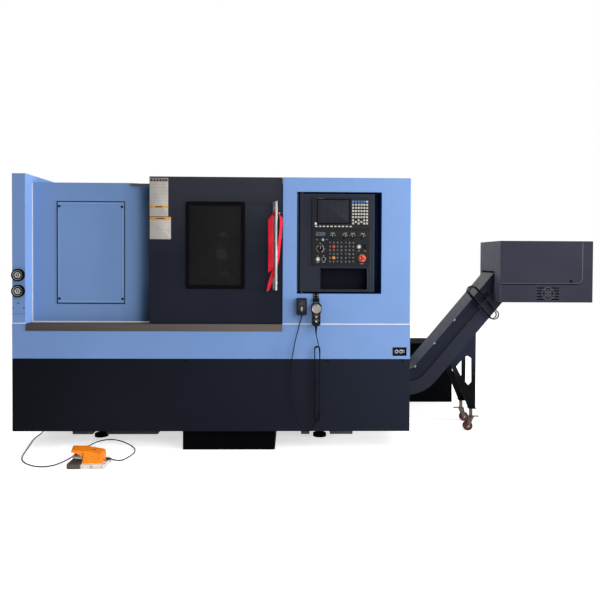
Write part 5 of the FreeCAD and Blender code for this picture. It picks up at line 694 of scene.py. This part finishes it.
def key_details():
    bm = bmesh.new()
    for column in range(6):
        for row in range(8):
            x, z = 2344 + 19.4 * column, 1736 - 21.5 * row
            if row > 5 and column in (1, 3):        # the arrow keys share the last two rows
                if row == 7:
                    continue
                z -= 10.75
            look = BLUE_KEY if row == 0 and column < 5 else IVORY_KEY
            key(bm, x, z, 6.8, 6.6, UNIT_FACE, -15.9, 2.2, 1.3, look)
            dash(bm, x, z + 1.5, 6, 1.2, KEY_LABEL, 0.3, GREY_INK)
            if (column + row) % 2:
                dash(bm, x + 1, z - 2, 4, 1, KEY_LABEL, 0.3, GREY_INK)
    for soft in range(10):
        key(bm, 2090 + 26.4 * soft, 1564, 8.5, 4.5, UNIT_FACE, -15.5, 3.5, 1.2, IVORY_KEY)
    for first, columns in ((2186, 4), (2295, 3)):
        for column in range(columns):
            for row in range(6):
                x, z = first + 26 * column, 1451 - 26 * row
                look = {(2186, 1, 1): RED_KEY, (2186, 1, 4): AMBER_KEY}.get((first, column, row), DARK_KEY)
                key(bm, x, z, 9.2, 9.2, PANEL_FACE, -11.8, 2.2, 1.2, look)
                if look == DARK_KEY:
                    dash(bm, x - 0.5, z + 2.5, 7, 1.8, MODE_LABEL, 0.35, INK)
                    if (column * 2 + row) % 3:
                        strip(bm, x - 1, z - 1, x + 3.5, z - 4.5, 1.8, MODE_LABEL, 0.35, INK)
    build("console_keys", bm, "key_plastic", "console", "panel_keys")


def screen_details():
    bm = bmesh.new()
    plate(bm, (2101, 2318, 1589, 1747), -8.5, -9.6, 2, 0.5, SCREEN)
    build("screen_pane", bm, "window_glass", "console")

    bm = bmesh.new()
    surround(bm, (2093, 2326, 1581, 1755), 7, -11.8, -13.2, 4, GASKET)
    strips(bm, ((2100, 1758, 2135, 1758, 2.4), (2141, 1758, 2148, 1758, 2.4)), -12.4, 0.5, GREY_INK)
    turned(bm, (2086, 0, 1583), [(8.5, 11.8), (8.5, 13.4), (7.5, 14.6), (0.1, 14.9)], 32, WHITE)
    screws(bm, ((2070, 1755), (2328, 1757), (2454, 1755), (2070, 1552), (2454, 1552)), UNIT_FACE, 2.6, GASKET)
    build("screen_bezel", bm, "console_black", "console")


def panel_details():
    bm = bmesh.new()
    screws(bm, ((2070, 1534), (2454, 1534), (2070, 1301), (2454, 1301)), PANEL_FACE, 2.6, MOULDED)
    surround(bm, COUNTER, 3, -8.5, -11.6, 5, INK)
    for digit in range(5):
        strip(bm, 2098 + 10.5 * digit, 1506, 2098 + 10.5 * digit, 1518, 5, -11.6, 0.3, BLUE_KEY)
    for x, tip in SELECTORS:
        centre = (x, SELECTOR_ROW)
        spokes(bm, centre, range(30, 151, 30), 17, 23, 2.4, LABEL, 0.4, INK)
        dash(bm, x, 1518, 28, 2.2, LABEL, 0.5, INK)
        turned(bm, (x, 0, SELECTOR_ROW), [(13.5, 8), (13.5, 9.5), (12.8, 10.2), (12.2, 10.2)], 32, MOULDED)
        spokes(bm, centre, (tip,), -12, 13, 8, -24, 9, MOULDED)
        spokes(bm, centre, (tip,), 2, 12.5, 3.2, -24.3, 0.5, INK)
    spokes(bm, DIAL, (*range(-66, 66, 6), *range(120, 252, 6)), 23, 25.4, 2.6, LABEL, 0.4, INK)
    spokes(bm, DIAL, range(-60, 241, 30), 28, 31, 2, LABEL, 0.4, INK)
    ring = [(15.5, 8), (15.5, 9.5), (14.5, 10.6), (12.6, 10.8), (12.2, 9)]
    button = [(11, 8), (11, 14), (9.8, 15.2), (0.1, 15.5)]
    studs(bm, ((2103, 1337), (2143, 1337), WHITE_BUTTON), 0, ring, 36, BOLT, MOULDED)
    studs(bm, (BLACK_BUTTON,), 0, ring, 36, MOULDED)
    studs(bm, (WHITE_BUTTON,), 0, button, 36, WHITE)
    studs(bm, (BLACK_BUTTON,), 0, button, 36, MOULDED)
    studs(bm, ((2137, 1472),), 0, [(12.5, 8), (12.5, 9.2), (11.5, 10), (9.6, 10)], 36, MOULDED)
    studs(bm, (STOP,), 0, [(29.2, 8), (29.2, 13.6), (27.5, 15.9), (24, 16.1)], 48, YELLOW)
    for x, z, length in LABELS:
        dash(bm, x, z, length, 2.2, LABEL, 0.5, INK)
    build("panel_trim", bm, "console_black", "console")

    bm = bmesh.new()
    surround(bm, (2116, 2449, 1124, 1278), 4.5, 0.4, -1.2, 9, CONSOLE)
    # Painted shade: a near-black lining in the pocket under the console.
    lining(bm, (2119, 2446, 1127, 1275), 0.6, 89.6, 1, 8, POCKET_SHADE)
    # Painted highlight: a pale line down the console's panel at X 2470, in the head box's lit-side colour.
    strip(bm, 2470, 1112, 2470, 1788, 1.2, -0.25, 0.5, HEAD_LIT_SIDE)
    build("tray_trim_shade_and_highlight", bm, "console_black", "console")

    bm = bmesh.new()
    crown = [(9, 4.2), (9, 20), (20, 20.6), (21.9, 22.6), (21.9, 29), (21, 33), (17.5, 36), (11, 36.9), (0.1, 37)]
    studs(bm, (STOP,), 0, crown, 48, RED)
    for angle in (20, 140, 260):
        spokes(bm, STOP, range(angle, angle + 61, 12), 14.5, 17.5, 2.2, -36.9, 0.4, INK)
    build("stop_mushroom", bm, "stop_red", "emergency_stop", "emergency_stop")

    bm = bmesh.new()
    knob = [(4, 0.2), (4, 8.5), (19.6, 8.9), (20, 10), (19.4, 24), (17.5, 27.6), (13, 28.2), (12, 27), (0.1, 27)]
    turned(bm, (DIAL[0], 0, DIAL[1]), knob, 112, MOULDED, flutes=14, cut=1.3)
    spokes(bm, DIAL, (90,), 0, 17, 2.4, -28.3, 0.5, INK)
    build("override_knob", bm, "dial_black", "override_dial", "override_dial")


# --- pendant, its plug and the cords' reliefs ---
PENDANT_X, WHEEL_Z, KNOB_HEIGHTS = 2091, 1000, (945, 914)
PENDANT_MARK = -78.3
PLUG_X, PLUG_Y = 1992, -23


def pendant_details():
    bm = bmesh.new()
    rim = [(4, 67.1), (4, 80.2), (29, 80.2), (31.8, 82), (31.8, 92), (30, 95.4), (26.5, 96), (24.5, 94.6), (9, 94.2),
           (7.5, 95.8), (0.1, 96)]
    grip = [(2.6, 94), (2.6, 96.6), (3.9, 97.4), (3.9, 105), (3, 107.6), (0.1, 108)]
    turned(bm, (PENDANT_X, 0, WHEEL_Z), rim, 144, ALUMINIUM, flutes=36, cut=0.7)
    turned(bm, (PENDANT_X, 0, WHEEL_Z + 22), grip, 24, MOULDED)
    build("pulse_wheel", bm, "dial_silver", "hand_wheel", "hand_wheel")

    bm = bmesh.new()
    spokes(bm, (PENDANT_X, WHEEL_Z), range(0, 360, 12), 33, 35.5, 1.1, PENDANT_MARK, 0.4, INK)
    for z in KNOB_HEIGHTS:
        spokes(bm, (PENDANT_X, z), range(20, 161, 35), 14, 19, 2, PENDANT_MARK, 0.4, INK)
    build("pendant_marks", bm, "dial_silver")

    bm = bmesh.new()
    screws(bm, ((2078, 1068), (2104, 1068), (2080, 1086), (2102, 1086)), -4, 3.4, BOLT)
    screws(bm, ((2066, 1024), (2116, 1024), (2070, 888), (2112, 888)), -78, 2.4, SCREW)
    build("pendant_screws", bm, "key_chrome")

    for name, z, lean in zip(("axis", "step"), KNOB_HEIGHTS, (90, 60)):
        bm = bmesh.new()
        turned(bm, (PENDANT_X, 0, z), [(7, 84), (7, 92.7), (6.2, 93.6), (0.1, 93.8)], 32, IVORY_KEY)
        spokes(bm, (PENDANT_X, z), (lean,), 0, 6, 2, -94.1, 0.5, SCREW)
        build(name + "_cap", bm, "dial_silver", name + "_knob")


def cord_fittings():
    bm = bmesh.new()
    for place, axis, sleeve in (
            ((PENDANT_X, -51, 866), "z",
             ((8.6, 1), (8.6, -4), (7.2, -7), (6.8, -16), (5.2, -30), (4.3, -42), (3.6, -43))),
            ((PLUG_X, PLUG_Y, 963), "z", ((6.9, 2), (6.9, -2), (6.3, -6), (4.8, -18), (4, -24), (3.5, -25))),
            ((40, 470, 119), "z", ((9.5, 1), (9.5, -4), (8.2, -8), (6.6, -18), (5.2, -30), (4.6, -31))),
            ((733, -282, 40), "x", ((8, -2), (8, 3), (7, 6), (6, 16), (4.9, 30), (4.4, 31)))):
        turned(bm, place, sleeve, 28, MOULDED, axis)
    build("strain_reliefs", bm, "black_paint")

    bm = bmesh.new()
    knurl = [(14.1, -3), (14.7, 0), (14.7, 9), (14.1, 12)]
    turned(bm, (PLUG_X, PLUG_Y, 988), knurl, 48, BOLT, "z", flutes=24, cut=0.5)
    turned(bm, (PLUG_X, PLUG_Y, 1014), [(14.1, -2), (14.7, 0), (14.7, 6), (14.1, 8)], 48, BOLT, "z")
    build("plug_coupling", bm, "key_chrome")

    bm = bmesh.new()
    screws(bm, ((1963, 1060), (2021, 1060), (1963, 960), (2021, 960)), -46, 3.2, SCREW)
    plate(bm, (1967, 2017, 984, 1056), -45.5, -47.5, 5, 1, SCREW)
    turned(bm, (1990, -46, 1030), [(17, 0), (17, 4), (15.5, 5.4), (12, 5.4), (11.4, 3)], 40, SCREW)
    for angle in range(0, 360, 60):
        cos, sin = cos_sin(angle)
        turned(bm, (1990 + 7 * cos, -46, 1030 + 7 * sin), [(1.8, 2), (1.8, 3.6), (0.1, 3.8)], 12, BOLT)
    turned(bm, (PLUG_X, -50, 1002), [(8, -13), (8.6, -12), (8.6, 6), (8, 7)], 28, BOLT, "z")
    turned(bm, (PLUG_X, -50, 987), [(5.4, -8), (6, -7), (6.4, 4), (6, 5)], 28, BOLT, "z")
    build("hood_fittings", bm, "black_paint")


# --- conveyor and casters ---
FAN, FAN_RADII = (3869, 1083), (50, 24)
CASTERS = (("front", 3307, 508), ("rear", 3355, 787))
AXLE_Z = 37


def conveyor_details():
    bm = bmesh.new()
    for x, z in ((2880, 514), (3028, 694), (3183, 874)):
        turned(bm, (x, 445, z), [(5.5, -0.3), (5.5, 2), (4.8, 3.6), (2.4, 4), (2.2, 2)], 20, BOLT)
        strip(bm, x - 9, z - 10, x + 3, z + 4, 6, 442.8, 2.4, BOLT)
    build("lid_clips", bm, "key_chrome")

    bm = bmesh.new()
    plate(bm, (3772, 3968, 1026, 1138), 368, 365, 3, 0.5, BLACK)
    for r in FAN_RADII:
        surround(bm, (FAN[0] - r, FAN[0] + r, FAN[1] - r, FAN[1] + r), 5, 360.5, 357.6, r, FAN_GUARD_AND_HIGHLIGHT)
    spokes(bm, FAN, (45, 135), -50, 50, 5, 358.6, 0.4, FAN_GUARD_AND_HIGHLIGHT)
    strips(bm, ((3508, 1154.5, 4098, 1154.5, 7.5), (4098, 1154.5, 4122, 1165, 6.5)), 358.4, 2, BLACK)
    # Painted highlight: lighter strips beside the dark seam lines, along the bottom, corner and right edge of the head
    # box's front.
    strips(bm, ((3508, 1161, 4096, 1161, 4), (4132, 1188, 4132, 1478, 6),
                (4096, 1161, 4121, 1171, 4), (4121, 1171, 4132, 1190, 5.5)), 357.8, 2.6, FAN_GUARD_AND_HIGHLIGHT)
    strip(bm, 4126, 1192, 4126, 1478, 3.5, 358.6, 2, BLACK)
    for y0, y1, z0, z1 in ((496, 799, 1235.6, 1250), (490, 504, 1150, 1250)):     # slits at the lid's throat
        skin(bm, [[(x, y0, z0), (x, y1, z0), (x, y1, z1), (x, y0, z1)] for x in (3501.1, 3502.4)], BLACK)
    screws(bm, ((4046, 1178),), 359.5, 9, BLACK)
    screws(bm, ((3518, 1180),), 360, 4, SCREW)
    build("head_box_fittings_and_highlights", bm, "black_paint")

    bm = bmesh.new()
    turned(bm, (3440, 505, 1069), [(30, -0.5), (30, 3), (28, 4.5), (23, 5), (21.5, 5.2)], 40, GREY_NAVY)
    turned(bm, (3440, 500, 1069), [(20.6, -1), (20.6, 2), (17, 6), (9, 9), (4.5, 10)], 32, MOULDED)
    strip(bm, 3480, 1087, 3538, 1154, 3, 503.6, 1.8, BLACK)
    build("cable_grommet", bm, "dark_paint")


def caster_details():
    hub = [(17, -0.5), (17, 0.3), (15, 0.6), (6, 0.6)]
    nut = [(8, -0.4), (8, 3.6), (7, 4.6), (3.4, 4.6), (3.2, 6.4), (0.1, 6.6)]
    for end, x, y in CASTERS:
        for name, body, stand, profile, sides, look in (("_hub_plates", "_wheel", 13, hub, 28, ZINC),
                                                        ("_axle_nuts", "_fork", 22, nut, 6, BOLT)):
            bm = bmesh.new()
            for side in (-1, 1):
                turned(bm, (x, y + side * stand, AXLE_Z), [(r, -side * out) for r, out in profile], sides, look)
            build(end + name, bm, "caster_zinc", end + body)


# --- pedal ---
HOOD_NEAR, HOOD_FAR, HOOD_WALL = -336, -228, 4.4
CORD_BOSS = (714, -282, 40)


def pedal_hood():
    """The guard over the pedal: side walls behind the toe opening, and a canopy that runs on over it."""
    bm = bmesh.new()
    top = [(714, 28), (714, 74), (707, 89), (690, 93), (585, 111), (500, 111.5), (496.5, 107), (497, 99)]
    side = [(592, 28), (713, 28), *top[1:], (548, 93), (572, 86), (586, 74), (592, 56)]
    inner = [(501, 99), (501, 105), (585, 106), (688, 88.6), (703, 85), (709.6, 73), (709.6, 28)]
    for y0, y1, outline in ((HOOD_NEAR, HOOD_NEAR + HOOD_WALL, side), (HOOD_FAR - HOOD_WALL, HOOD_FAR, side),
                            (-331.7, -232.3, top + inner)):
        rings = []
        for y in (y0, y1):
            lean = 0.24 * (HOOD_FAR - y)
            rings.append([(x + lean * min(max((560 - x) / 60, 0), 1), y, z) for x, z in outline])
        skin(bm, rings, ORANGE)
    turned(bm, CORD_BOSS, [(9, -1), (9, 13), (8.2, 14)], 28, ORANGE, "x")
    obj = build("pedal_guard", bm, "hood_orange", "machine", "pedal_hood")
    rounder = obj.modifiers.new("rounder", "BEVEL")
    rounder.width, rounder.segments, rounder.limit_method, rounder.angle_limit = 0.0018, 3, "ANGLE", SHARP

    bm = bmesh.new()
    strip(bm, 596, 42, 600, 98, 5, -337.2, 2, SCREW)
    rivet = [(3, -0.3), (3, 0.8), (2.2, 1.2), (0.1, 1.2)]
    studs(bm, ((622, 60), (660, 74), (700, 60)), HOOD_NEAR, rivet, 16, SCREW)
    rings = []
    for wide, deep, rise in ((12.8, 8, 0.2), (11.2, 7, 1.4)):       # a bare plate on the canopy's slope
        rings.append([(650 + a * wide, -282 + b * deep, 100.4 - 0.168 * a * wide + rise)
                      for a, b in ((-1, -1), (1, -1), (1, 1), (-1, 1))])
    skin(bm, rings, GREY_INK)
    build("pedal_trim", bm, "black_paint")


def pedal_details():
    bm = bmesh.new()
    for x in (520, 556):
        strip(bm, x, 6, x, 24, 2, -362.3, 0.8, SCREW)
    screws(bm, ((604, 12), (690, 12), (728, 16)), -360.3, 3.6, SCREW)
    turned(bm, (660, -360.1, 15), [(7, -0.3), (7, 1.9), (5, 2.2), (3, 1.6)], 24, SCREW)
    build("pedal_screws", bm, "black_paint")


# --- back and ends, which the photograph doesn't show ---
REAR_FACE, RIGHT_END = 1653, 2750
END_PANEL = (430, 1210, 960, 1720)      # y and z
SIGHT_GLASS = (760, 1100)


def rear_details():
    bm = bmesh.new()
    head = [(6, 0.3), (6, -1.5), (5, -2.8), (2, -3), (1.8, -1.5)]
    for x0, x1 in ((170, 690), (710, 1230), (1250, 1770)):
        plate(bm, (x0, x1, 960, 1800), 1649.8, REAR_FACE, 12, 1.2, BLUE)
        for x in (x0 + 18, x1 - 18):
            studs(bm, ((x, 978), (x, 1380), (x, 1782)), REAR_FACE, head, 16, SCREW)
    build("rear_cover_plates", bm, "blue_paint")

    bm = bmesh.new()
    for group in (1130, 1560):
        for row in range(8):
            z = group + 22 * row
            slat = [(out, z - drop) for out, drop in ((1674.5, 0), (1680, 2), (1682, 8), (1681, 13), (1674.5, 13))]
            for ends in ((2150, 2300), (2330, 2480)):
                skin(bm, [[(x, *place) for place in slat] for x in ends], BLUE)
    build("cabinet_louvres", bm, "blue_paint", "cabinet_door")


def end_details():
    """A flush service cover on the left end, and a screwed plate with a sight glass on the right one."""
    bm = bmesh.new()
    low, high, bottom, top = END_PANEL
    for row in ((low, bottom, low, top, 5), (high, bottom, high, top, 5), (low, bottom, high, bottom, 5),
                (low, top, high, top, 5), (60, BAND_TOP, 1590, BAND_TOP, 3)):
        strip(bm, *row, -0.2, 0.6, NAVY, side=True)
    for y in (low + 22, high - 22):
        for z in (bottom + 22, (bottom + top) / 2, top - 22):
            turned(bm, (0, y, z), [(8, 0.5), (8, -0.1), (7, -0.25), (3, -0.25), (2.8, 0.2)], 20, GASKET, "x")
    build("left_end_seams", bm, "dark_paint")

    bm = bmesh.new()
    skin(bm, [[(RIGHT_END + stand, y, z) for y, z in rounded(620, 1330, 960, 1540, 14, inset)]
              for inset, stand in ((0, -0.5), (0, 1.4), (1.2, 2.6))], BLUE)
    for y in (642, 975, 1308):
        for z in (982, 1518):
            turned(bm, (RIGHT_END + 2, y, z), [(7, 0), (7, 2), (6, 3.4), (2.8, 3.6), (2.6, 1.6)], 20, SCREW, "x")
    y, z = SIGHT_GLASS
    turned(bm, (RIGHT_END + 2, y, z), [(34, 0), (34, 5), (31, 8), (25, 8), (24, 3)], 44, SCREW, "x", end=AMBER_KEY)
    for level in (z - 8, z + 8):
        strip(bm, y - 20, level, y + 20, level, 2, RIGHT_END + 5.4, -1.4, SCREW, side=True)
    build("right_end_plate", bm, "blue_paint")


for details in (cover_details, gauge_details, door_details, ribbon, key_details, screen_details, panel_details,
                pendant_details, cord_fittings, conveyor_details, caster_details, pedal_hood, pedal_details,
                rear_details, end_details):
    details()


# --- studio ---
SKY, BACKDROP = 0.42, 1     # the world's strength as a light and as it is seen
FLOOR_SEEN, FLOOR_UNSEEN = (0.9, 0.62), (0.55, 0)     # the floor's paleness and glow
FLOOR_HALF = 60
LAMPS = (       # name, place, aim, size in metres, watts, beam in degrees
    ("key", (4300, -3000, 2600), (1900, 0, 1000), 3, 95, 180),
    ("side", (12000, -1800, 1600), (100, 0, 1300), 2, 900, 180),
    ("high", (-500, 2500, 5500), (3200, 600, 900), 3, 210, 180),
    ("low", (300, -2600, 1500), (620, -280, 60), 0.5, 0.9, 26),
)


def lit(tree, seen, unseen):
    """One shader for the camera, gloss and glass, which show the backdrop, and another for all other rays."""
    link, path = tree.links.new, tree.nodes.new("ShaderNodeLightPath")
    shown = path.outputs["Is Camera Ray"]
    for kind in ("Is Glossy Ray", "Is Transmission Ray"):
        either = tree.nodes.new("ShaderNodeMath")
        either.operation = "MAXIMUM"
        link(shown, either.inputs[0])
        link(path.outputs[kind], either.inputs[1])
        shown = either.outputs["Value"]
    node = tree.nodes.new("ShaderNodeMixShader")
    link(shown, node.inputs["Fac"])
    link(unseen, node.inputs[1])
    link(seen, node.inputs[2])
    return node.outputs["Shader"]


def sky():
    world = bpy.data.worlds.new("studio")
    bpy.context.scene.world = world
    world.use_nodes = True
    tree = world.node_tree
    shades = []
    for strength in (BACKDROP, SKY):
        node = fill(tree.nodes.new("ShaderNodeBackground"), {"Color": (1, 1, 1, 1), "Strength": strength})
        shades.append(node.outputs["Background"])
    tree.links.new(lit(tree, *shades), tree.nodes["World Output"].inputs["Surface"])


def floor():
    far = FLOOR_HALF
    mesh = bpy.data.meshes.new("floor")
    mesh.from_pydata([(-far, -far, 0), (far, -far, 0), (far, far, 0), (-far, far, 0)], [], [(0, 1, 2, 3)])
    material = bpy.data.materials.new("pale_floor")
    material.use_nodes = True
    tree = material.node_tree
    shaders = [tree.nodes["Principled BSDF"], tree.nodes.new("ShaderNodeBsdfPrincipled")]
    for shader, (pale, glow) in zip(shaders, (FLOOR_SEEN, FLOOR_UNSEEN)):
        fill(shader, {"Roughness": 0.9, "Specular IOR Level": 0, "Base Color": (pale, pale, pale, 1),
                      "Emission Color": (1, 1, 1, 1), "Emission Strength": glow})
    shades = [shader.outputs["BSDF"] for shader in shaders]
    tree.links.new(lit(tree, *shades), tree.nodes["Material Output"].inputs["Surface"])
    mesh.materials.append(material)
    placed("floor", mesh)


def lamps():
    for name, place, aim, size, power, beam in LAMPS:
        lamp = bpy.data.lights.new(name, "AREA")
        lamp.shape, lamp.size, lamp.energy, lamp.spread = "SQUARE", size, power, math.radians(beam)
        light = placed(name, lamp)
        light.location = at(*place)
        light.rotation_euler = (at(*aim) - at(*place)).to_track_quat("-Z", "Y").to_euler()


sky()
floor()
lamps()
